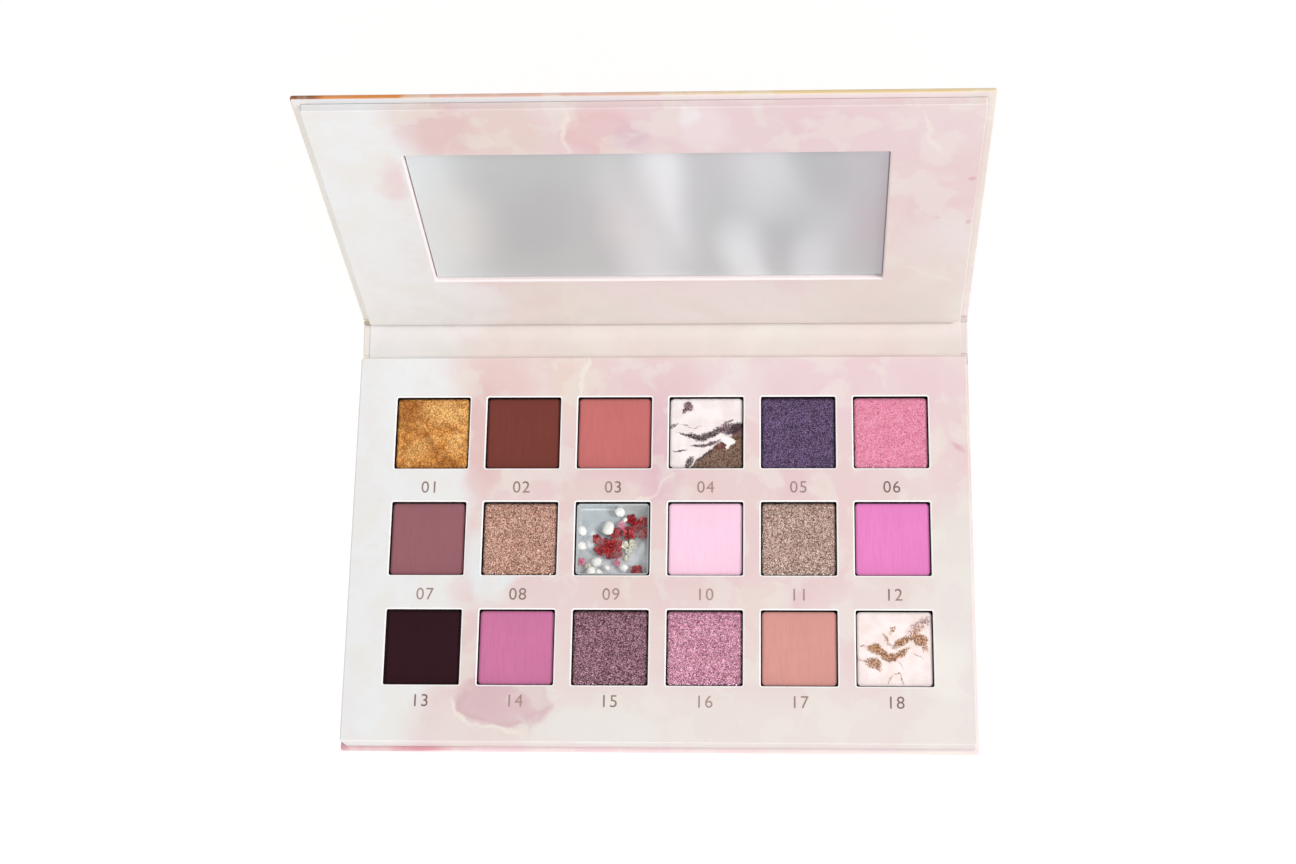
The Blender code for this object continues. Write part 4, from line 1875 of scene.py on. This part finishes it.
@dataclass
class PanSet:
    """The stamped tins and the shades pressed into them.

    Attributes:
        tin: thickness of the tin.
        corner: radius of a tin's corners.
        inner_corner: least radius of its inner corners.
        foot: radius of its bottom edge.
        side_gap: gap between a shade and its tin.
        sunk: how far a shade lies under the rim.
        cells: squares of relief along one side of a shade.
        edge: radius of a shade's top edge.
    """

    tin: float = 0.25 * MM
    corner: float = 1.5 * MM
    inner_corner: float = 0.1 * MM
    foot: float = 0.6 * MM
    side_gap: float = 0.01 * MM
    sunk: float = 0.12 * MM
    cells: int = 56
    edge: float = 0.25 * MM

    def build(self) -> Iterator[Piece]:
        """Builds each tin and each pressed shade.

        Yields:
            Each piece.
        """
        # The tins are a near-black brown: painted shade for the dark gap between each window's edge and its
        # shade, where the rims lie.
        finish = Metal("pan_tin", "332926", 0.42).build()
        shared: bpy.types.Mesh | None = None
        for number, low, high in pan_boxes():
            tin = self.stamp(number, low, high, finish, shared)
            shared = tin.data
            yield mount(tin, "base", "pan_tin", f"pan_{number:02d}")
            shade = SHADES[number - 1]
            if shade:
                cake = self.press(number, low, high, shade)
                yield mount(cake, "base", shade.slot, f"cake_{number:02d}")

    def stamp(
        self, number: int, low: Vector, high: Vector, finish: Material, shared: bpy.types.Mesh | None
    ) -> Piece:
        """Stamps one tin, or copies the first.

        Args:
            number: the pan's number.
            low: its lowest corner.
            high: its highest corner.
            finish: its material.
            shared: the first tin's mesh.

        Returns:
            The piece.
        """
        name = f"tin_{number:02d}"
        place = Matrix.Translation(Vector((*middle_of(low, high), low.z)))
        if shared:
            piece = bpy.data.objects.new(name, shared)
            bpy.context.scene.collection.objects.link(piece)
            piece.matrix_world = place
            piece.modifiers.new("face_weighted", "WEIGHTED_NORMAL").keep_sharp = True
            return piece
        side, height = high.x - low.x, high.z - low.z
        turns = [math.radians(90 * step / EDGE_STEPS) for step in range(EDGE_STEPS + 1)]
        loops = [(self.foot * (1 - math.sin(turn)), self.foot * (1 - math.cos(turn))) for turn in turns]
        roll = self.tin / 2
        for step in range(2 * EDGE_STEPS + 1):
            turn = math.pi * step / (2 * EDGE_STEPS)
            loops.append((roll * (1 - math.cos(turn)), height - roll + roll * math.sin(turn)))
        inner_foot = self.foot - self.tin
        for turn in reversed(turns):
            inset = self.tin + inner_foot * (1 - math.sin(turn))
            loops.append((inset, self.tin + inner_foot * (1 - math.cos(turn))))
        mould = Mould(name)
        rings = []
        for inset, level in loops:
            radius = max(self.corner - inset, self.inner_corner)
            outline = rounded_rectangle((side - 2 * inset,) * 2, radius)
            rings.append([(x, y, level) for x, y in outline])
        mould.stack(rings)
        return soften(mould.cast([finish], place))

    def press(self, number: int, low: Vector, high: Vector, shade: PressedPowder) -> Piece:
        """Presses one shade, with its relief in the mesh.

        Args:
            number: the pan's number.
            low: the pan's lowest corner.
            high: its highest corner.
            shade: the finish.

        Returns:
            The piece.
        """
        half = (high.x - low.x) / 2 - self.tin - self.side_gap
        top = high.z - low.z - self.sunk
        round_off = self.corner - self.tin

        def height(x: float, y: float) -> float:
            """Height of the relief, which falls away at the edges."""
            edge = max(0.0, max(abs(x), abs(y)) - half + self.edge)
            fall = self.edge - math.sqrt(max(0.0, self.edge**2 - edge**2))
            return top - fall + relief(shade.texture, x, y, number)

        mould = Mould(f"shade_{number:02d}")
        mould.cushion(half, round_off, self.cells, self.tin + self.foot, height)
        place = Matrix.Translation(Vector((*middle_of(low, high), low.z)))
        piece = mould.cast([shade.build()], place)
        piece.data.shade_smooth()
        piece.data.set_sharp_from_angle(angle=POWDER_SHARP_ANGLE)
        return piece


def relief(texture: Texture, x: float, y: float, seed: int) -> float:
    """Height of a pressed surface over its mean level.

    Args:
        texture: how it is pressed.
        x: place along X from the pan's centre.
        y: place along Y.
        seed: a number that makes each pan's relief its own.

    Returns:
        The height in metres.
    """
    depth = texture.value * MM
    point = Vector((x / MM, y / MM, 7.3 * seed))
    if texture is Texture.MATTE:
        lines = noise.noise(Vector((1.1 * point.x, 0.08 * point.y, point.z)))
        return depth * (lines + 0.5 * noise.noise(0.2 * point))
    if texture is Texture.CRUMPLED:
        folds = 0.5 - abs(noise.fractal(0.16 * point, 0.9, 2.1, 4))
        return depth * (folds + 0.35 * noise.fractal(0.9 * point, 0.8, 2.2, 3))
    grains = noise.noise(2.1 * point) + 0.6 * noise.noise(4.3 * point)
    return depth * (0.5 * grains + 0.5 * noise.fractal(0.3 * point, 1.0, 2.0, 3))


class Sprig(Enum):
    """What lies in the gel: name of its piece, then the light and dark tones."""

    RED = ("gel_09_red_petals", "B51A20", "5E070C")
    WHITE = ("gel_09_white_buds", "FCFBF8", "E3E0D8")
    GREEN = ("gel_09_green_bits", "E2E0D0", "B9B6A0")
    ROSE = ("gel_09_rose_bits", "E39AB0", "A83A5C")


@dataclass(frozen=True)
class Bit:
    """A petal or bud in the gel, in millimetres from the pan's centre.

    Attributes:
        kind: what it is.
        centre: where it lies.
        radius: how large it is.
        level: its height over the gel's floor.
    """

    kind: Sprig
    centre: Point
    radius: float
    level: float = 2.6


GEL_BITS = (
    Bit(Sprig.WHITE, (2.3, 10.2), 2.0),
    Bit(Sprig.WHITE, (4.1, 7.4), 1.0),
    Bit(Sprig.WHITE, (-1.7, 4.3), 2.5, 3.0),
    Bit(Sprig.WHITE, (-11.0, 3.6), 1.9),
    Bit(Sprig.WHITE, (-11.0, -1.8), 1.9),
    Bit(Sprig.WHITE, (-5.8, -7.6), 2.1, 2.2),
    Bit(Sprig.WHITE, (-7.4, -11.0), 2.1, 2.2),
    Bit(Sprig.WHITE, (-4.8, -11.6), 1.5, 2.0),
    Bit(Sprig.WHITE, (-2.0, -9.8), 1.2, 2.8),
    Bit(Sprig.WHITE, (3.8, -9.8), 1.7),
    Bit(Sprig.WHITE, (4.6, 3.4), 1.0, 2.4),
    Bit(Sprig.RED, (-5.6, 0.6), 1.6),
    Bit(Sprig.RED, (-3.6, -3.2), 2.6, 3.0),
    Bit(Sprig.RED, (-2.4, -1.0), 1.9, 2.5),
    Bit(Sprig.RED, (1.0, 2.4), 2.1, 2.8),
    Bit(Sprig.RED, (0.8, -1.6), 2.5, 2.9),
    Bit(Sprig.RED, (1.4, -4.6), 2.0, 2.6),
    Bit(Sprig.RED, (-0.8, -4.8), 1.8),
    Bit(Sprig.RED, (6.2, 7.6), 1.8),
    Bit(Sprig.RED, (5.8, 2.6), 2.3, 2.8),
    Bit(Sprig.RED, (8.2, 5.2), 1.7),
    Bit(Sprig.RED, (10.6, 6.6), 1.9),
    Bit(Sprig.RED, (10.6, 2.6), 1.9, 2.8),
    Bit(Sprig.RED, (8.4, -10.6), 1.9, 2.2),
    Bit(Sprig.ROSE, (3.0, 5.0), 1.7),
    Bit(Sprig.ROSE, (-10.7, -7.6), 1.3),
    Bit(Sprig.ROSE, (1.6, -8.0), 1.2),
    Bit(Sprig.GREEN, (4.2, -1.6), 1.3),
    Bit(Sprig.GREEN, (6.8, -1.4), 1.6, 2.4),
    Bit(Sprig.GREEN, (5.6, -3.8), 1.2, 2.2),
    Bit(Sprig.GREEN, (5.0, -6.2), 1.0, 2.0),
    Bit(Sprig.GREEN, (-8.4, -9.4), 1.1, 2.0),
)


@dataclass
class GelPan:
    """The clear gel of pan 9: a silver cup, the bits that are set in it, and the gel itself.

    Attributes:
        side_gap: gap between the gel and the pan's outer face.
        corner: radius of its corners.
        inner_corner: least radius of the cup's inner corners.
        cup_bottom: height of the cup over the pan's underside, and thickness of its bottom.
        cup_wall: thickness of the cup's wall, and width of its bevelled lip.
        foot_gap: gap between the gel's underside and the cup's bottom.
        sunk: how far the gel lies under the rim.
        crown: how far its middle stands up.
        cells: squares along one side of its skin.
        petals: petals in a red bud.
    """

    side_gap: float = 0.28 * MM
    corner: float = 1.2 * MM
    inner_corner: float = 0.3 * MM
    cup_bottom: Point = (0.7 * MM, 0.5 * MM)
    cup_wall: Point = (0.5 * MM, 0.12 * MM)
    foot_gap: float = 0.1 * MM
    sunk: float = 0.1 * MM
    crown: float = 0.15 * MM
    cells: int = 32
    petals: int = 5

    def build(self) -> Iterator[Piece]:
        """Builds the cup, the bits and the gel.

        Yields:
            Each piece.
        """
        low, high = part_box(f"pan_{GEL_NUMBER:02d}")
        place = Matrix.Translation(Vector((*middle_of(low, high), low.z)))
        half = (high.x - low.x) / 2 - self.side_gap
        rim = high.z - low.z
        yield self.form_cup(half, rim, place)
        for kind in Sprig:
            yield self.set_bits(kind, place)
        yield self.pour(half - self.cup_wall[0], rim, place)

    def form_cup(self, half: float, rim: float, place: Matrix) -> Piece:
        """Forms the silver-grey cup that holds the gel.

        Args:
            half: half its side.
            rim: height of the pan's rim.
            place: the pan's own axes.

        Returns:
            The piece.
        """
        level, thickness = self.cup_bottom
        wall, lip = self.cup_wall
        outline = [
            (0.0, level),
            (0.0, rim - self.sunk - lip),
            (lip, rim - self.sunk),
            (wall - lip, rim - self.sunk),
            (wall, rim - self.sunk - lip),
            (2 * wall, level + 2 * thickness),
            (3 * wall, level + thickness),
        ]
        mould = Mould("gel_09_cup")
        rings = []
        for inset, height in outline:
            side = 2 * (half - inset)
            corners = rounded_rectangle((side, side), max(self.corner - inset, self.inner_corner))
            rings.append([(x, y, height) for x, y in corners])
        mould.stack(rings)
        # Two white streaks are painted highlights, and the grey and pale patches painted reflections on the
        # cup's silver.
        painted_reflections = (
            Wash((-5, 5), (9, 9), "C2C6CB", 0.9, 20, 0.5),
            Wash((-7.6, 1.6), (1.3, 3.4), "FCFCFD", 1.0, 0, 0.3),
            Wash((9.8, -3.6), (0.9, 3.8), "FCFCFD", 1.0, 0, 0.3),
            Wash((6, -9), (9, 5), "E6E3E7", 0.9, 0, 0.6),
        )
        finish = SilverWithPaintedReflections("gel_cup_silver", "CDCBCA", painted_reflections).build()
        return mount(soften(mould.cast([finish], place)), "base", "clear_gel")

    def set_bits(self, kind: Sprig, place: Matrix) -> Piece:
        """Sets every bit of one kind.

        Args:
            kind: what they are.
            place: the pan's own axes.

        Returns:
            The piece.
        """
        name, light, dark = kind.value
        mould = Mould(name)
        for index, bit in enumerate(GEL_BITS):
            if bit.kind is kind:
                self.set_bit(mould, bit, index)
        piece = mould.cast([DriedFlower(name, light, dark).build()], place)
        piece.data.shade_smooth()
        return mount(piece, "base", "clear_gel")

    def set_bit(self, mould: Mould, bit: Bit, seed: int) -> None:
        """Adds one bud as a cluster of cupped petals, or one round bead of tiny florets.

        Args:
            mould: the piece it joins.
            bit: the bit.
            seed: a number that makes it its own shape.
        """
        centre = Vector((*bit.centre, bit.level)) * MM
        round_bud = bit.kind is Sprig.WHITE
        count = 1 if round_bud else self.petals
        for petal in range(count):
            key = seed + 0.37 * petal
            around = 2 * math.pi * (petal / count + 0.11 * seed)
            reach = 0.0 if round_bud else 0.45 * bit.radius * MM
            offset = Vector((reach * math.cos(around), reach * math.sin(around), 0.0))
            turn = Euler((0.5 * math.sin(5.1 * key), 0.5 * math.cos(3.7 * key), around)).to_matrix()
            size = bit.radius * MM * (1.0 if round_bud else 0.68)
            flat = 0.62 if round_bud else 0.34
            made = bmesh.ops.create_icosphere(mould.mesh, subdivisions=3, radius=1.0)["verts"]
            for vertex in made:
                raw = vertex.co.copy()
                bumps = noise.noise(3.2 * raw + Vector((key, 2 * key, 0.0)))
                ripple = noise.noise(1.3 * raw + Vector((0.0, key, 3 * key)))
                swell = 1.0 + (0.22 * bumps + 0.12 * ripple if round_bud else 0.16 * bumps + 0.30 * ripple)
                cup = 0.0 if round_bud else 0.45 * (raw.x**2 + raw.y**2) - 0.2
                shaped = Vector((raw.x * swell, 0.82 * raw.y * swell, flat * raw.z * swell + cup))
                vertex.co = centre + offset + turn @ (size * shaped)

    def pour(self, half: float, rim: float, place: Matrix) -> Piece:
        """Pours the gel, which rises a little in the middle and dips unevenly.

        Args:
            half: half its side.
            rim: height of the pan's rim.
            place: the pan's own axes.

        Returns:
            The piece.
        """
        top = rim - self.sunk

        def height(x: float, y: float) -> float:
            """Height of the gel's skin."""
            wave = noise.noise(Vector((0.22 * x / MM, 0.16 * y / MM, 4.0)))
            swell = self.crown * (1 - (x / half) ** 4) * (1 - (y / half) ** 4)
            return top + swell * (1 + wave)

        mould = Mould("gel_09_body")
        foot = sum(self.cup_bottom) + self.foot_gap
        mould.cushion(half, self.corner, self.cells, foot, height)
        piece = mould.cast([ClearGel("clear_gel", 0.03).build()], place)
        piece.data.shade_smooth()
        piece.data.set_sharp_from_angle(angle=GEL_SHARP_ANGLE)
        return mount(piece, "base", "clear_gel", f"gel_{GEL_NUMBER:02d}")


# ----------------------------------------------------------------------------------------------------
# Lid
# ----------------------------------------------------------------------------------------------------


@dataclass
class Lid:
    """The printed panel and the mirror in its opening.

    Attributes:
        edge: radius of the panel's wrapped edge.
        corner: radius of its corners.
        gap: gap between the mirror and the opening.
        opening_corner: radius of the opening's corners.
        opening_chamfer: width of the opening's worn edge.
        pocket_gap: gap between a magnet and its pocket.
        glass_corner: radius of the mirror's corners.
        glass_edge: radius of its ground edge.
    """

    edge: float = 0.4 * MM
    corner: float = 0.8 * MM
    gap: float = 0.3 * MM
    opening_corner: float = 0.6 * MM
    opening_chamfer: float = 0.55 * MM
    pocket_gap: float = 0.3 * MM
    glass_corner: float = 0.5 * MM
    glass_edge: float = 0.2 * MM

    def build(self) -> Iterator[Piece]:
        """Builds the panel and the mirror.

        Yields:
            Each piece.
        """
        axes = HingeAxes.of("lid_hinge", "lid_cover_board")
        yield self.panel(axes)
        yield self.mirror(axes)

    def panel(self, axes: HingeAxes) -> Piece:
        """Wraps the panel, then cuts its opening and the magnets' pockets.

        Args:
            axes: axes of the lid.

        Returns:
            The piece.
        """
        low, high = axes.box("lid_panel")
        # A darker copy of the sheet's print: painted shade on the lid panel.
        face = PrintedPaper(
            "lid_print", SHEET, LID_WASHES, LID_VEINS, fold_height=high.z / MM, tone=LID_TONE_WITH_PAINTED_SHADE
        ).build()
        white = CutCard("opening_edge", "F1E4E4").build()
        mould = Mould("lid_panel_wrap")
        mould.slab(low, high, self.corner, 0.0, self.edge)
        piece = mould.cast([face, white], axes.matrix())
        glass_low, glass_high = axes.box("mirror")
        centre = middle_of(glass_low, glass_high)
        size = (glass_high.x - glass_low.x + 2 * self.gap, glass_high.y - glass_low.y + 2 * self.gap)
        cutter = Mould("opening")
        loops = []
        bevel = self.opening_chamfer
        for grow, height in (
            (0.0, low.z - CUT_MARGIN),
            (0.0, high.z - bevel),
            (bevel + CUT_MARGIN, high.z + CUT_MARGIN),
        ):
            grown = (size[0] + 2 * grow, size[1] + 2 * grow)
            outline = rounded_rectangle(grown, self.opening_corner + grow, centre)
            loops.append([(x, y, height) for x, y in outline])
        cutter.stack(loops)
        carve(piece, cutter.cast())
        carve(piece, self.pocket_cutter(axes, low.z))
        inner_x, inner_y = size[0] / 2 + bevel, size[1] / 2 + bevel
        refinish(
            piece,
            1,
            lambda part: abs(part.normal.z) < 0.95
            and abs(part.center.x - centre[0]) < inner_x
            and abs(part.center.y - centre[1]) < inner_y,
        )
        return mount(soften(piece), "lid", "face_print", "lid_panel")

    def pocket_cutter(self, axes: HingeAxes, low: float) -> Piece:
        """One cutter for both magnets' pockets.

        Args:
            axes: axes of the lid.
            low: height of the panel's underside.

        Returns:
            The cutter.
        """
        mould = Mould("pockets")
        for side in ("left", "right"):
            start, end = axes.box(f"lid_magnet_{side}")
            across = end.x - start.x + 2 * self.pocket_gap
            outline = rounded_rectangle((across, across), ROUND_SHARE * across, middle_of(start, end))
            loops = [[(x, y, z) for x, y in outline] for z in (low - CUT_MARGIN, end.z + self.pocket_gap)]
            mould.stack(loops)
        return mould.cast()

    def mirror(self, axes: HingeAxes) -> Piece:
        """The mirror with its ground edge.

        Args:
            axes: axes of the lid.

        Returns:
            The piece.
        """
        mould = Mould("mirror_glass")
        mould.slab(*axes.box("mirror"), self.glass_corner, self.glass_edge, self.glass_edge)
        finish = SilverWithPaintedReflections("mirror_glass", "D0D0D1", MIRROR_PAINTED_REFLECTIONS).build()
        piece = soften(mould.cast([finish], axes.matrix()))
        return mount(piece, "lid", "mirror_glass", "mirror")


@dataclass
class HiddenParts:
    """The frame's own nodes that are kept: boards, tape and magnets."""

    def build(self) -> Iterator[Piece]:
        """Gives each node its finish.

        Yields:
            Each node's object.
        """
        grey = RawBoard("greyboard", "A9A29A", "6E675F").build()
        black = RawBoard("black_board", "1E1A1A", "3A3432").build()
        plating = Metal("magnet_plating", "BFC0C4", 0.28, 3.0).build()
        tape = RawBoard("foam_tape", "E3E1DA", "C8C5BC").build()
        finishes = {
            "tray_floor_board": grey,
            "riser_board": grey,
            "well_board": black,
            "mirror_tape": tape,
            "tray_magnet_left": plating,
            "tray_magnet_right": plating,
            "lid_magnet_left": plating,
            "lid_magnet_right": plating,
        }
        for name, finish in finishes.items():
            node = frame["nodes"][name]
            node.data.materials.clear()
            node.data.materials.append(finish)
            yield node


# ----------------------------------------------------------------------------------------------------
# Studio
# ----------------------------------------------------------------------------------------------------


@dataclass(frozen=True)
class Lamp:
    """One soft square lamp that points at the palette.

    Attributes:
        name: its name.
        place: where it hangs.
        size: its side.
        power: its power in watts.
    """

    name: str
    place: tuple[float, float, float]
    size: float
    power: float

    def hang(self) -> Piece:
        """Hangs the lamp.

        Returns:
            The lamp's object.
        """
        light = bpy.data.lights.new(self.name, "AREA")
        light.size = self.size
        light.energy = self.power
        made = bpy.data.objects.new(self.name, light)
        made.location = self.place
        made.rotation_euler = (-Vector(self.place)).to_track_quat("-Z", "Y").to_euler()
        bpy.context.scene.collection.objects.link(made)
        return made


@dataclass
class Studio:
    """A pale floor, soft light and the camera.

    Attributes:
        floor_side: side of the floor.
        floor_gap: how far the floor lies under the case.
        world: strength of the light from all round.
        lamps: its lamps.
        camera_place: where the camera stands.
        camera_turn: how it is turned, in degrees about X, Y and Z.
        lens: its focal length on a 36 mm sensor, in millimetres.
        shift: how far the picture is moved down the sensor, as a share of its width.
    """

    floor_side: float = 8.0
    floor_gap: float = 0.05 * MM
    world: float = 0.50
    lamps: tuple[Lamp, ...] = (
        Lamp("key", (1.75, -0.25, 1.7), 0.8, 42.0),
        Lamp("front_fill", (-0.3, -2.2, 1.2), 1.8, 26.0),
    )
    camera_place: tuple[float, float, float] = (0.0460, -0.1898, 0.7863)
    camera_turn: tuple[float, float, float] = (18.39, 3.56, -0.22)
    lens: float = 63.66
    shift: float = -0.0556

    def build(self) -> Iterator[Piece]:
        """Sets up the studio.

        Yields:
            The floor.
        """
        floor = self.floor()
        yield floor
        self.surround()
        self.spare(floor, [lamp.hang() for lamp in self.lamps])
        self.camera()
        bpy.context.scene.view_settings.view_transform = "Standard"

    def floor(self) -> Piece:
        """Lays the floor.

        Returns:
            The floor.
        """
        half = self.floor_side / 2
        mesh = bmesh.new()
        bmesh.ops.create_grid(mesh, x_segments=4, y_segments=4, size=half)
        data = bpy.data.meshes.new("floor")
        mesh.to_mesh(data)
        mesh.free()
        data.materials.append(Backdrop("floor_white", "F2F2F2").build())
        piece = bpy.data.objects.new("floor", data)
        piece.location.z = -self.floor_gap
        bpy.context.scene.collection.objects.link(piece)
        piece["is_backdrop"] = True
        return piece

    def surround(self) -> None:
        """Lights the scene evenly from all round."""
        world = bpy.data.worlds.new("studio")
        world.use_nodes = True
        background = world.node_tree.nodes["Background"]
        background.inputs["Color"].default_value = (1.0, 1.0, 1.0, 1.0)
        background.inputs["Strength"].default_value = self.world
        bpy.context.scene.world = world

    def spare(self, piece: Piece, lamps: Sequence[Piece]) -> None:
        """Keeps the lamps' light off one piece, and with it the shadows they throw.

        Args:
            piece: the piece.
            lamps: the lamps that leave it alone.
        """
        spared = bpy.data.collections.new(piece.name + "_spared")
        spared.objects.link(piece)
        spared.collection_objects[0].light_linking.link_state = "EXCLUDE"
        for lamp in lamps:
            lamp.light_linking.receiver_collection = spared

    def camera(self) -> None:
        """Sets up the camera."""
        data = bpy.data.cameras.new("camera")
        data.sensor_width = 36.0
        data.lens = self.lens
        data.shift_y = self.shift
        made = bpy.data.objects.new("camera", data)
        made.rotation_mode = "ZYX"
        made.rotation_euler = [math.radians(angle) for angle in self.camera_turn]
        made.location = self.camera_place
        bpy.context.scene.collection.objects.link(made)
        bpy.context.scene.camera = made


def main() -> None:
    """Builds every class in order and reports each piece."""
    logging.basicConfig(level=logging.INFO, format="%(name)s: %(message)s")
    for part in (Cover(), Tray(), PanSet(), GelPan(), Lid(), HiddenParts(), Studio()):
        for piece in part.build():
            LOG.info("%s: %s, %d faces", type(part).__name__, piece.name, len(piece.data.polygons))
    boxes = {"cad": CAD_BOX, "visual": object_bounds()}
    {name: [list(corner) for corner in box] for name, box in boxes.items()}


if __name__ == "__main__":
    main()
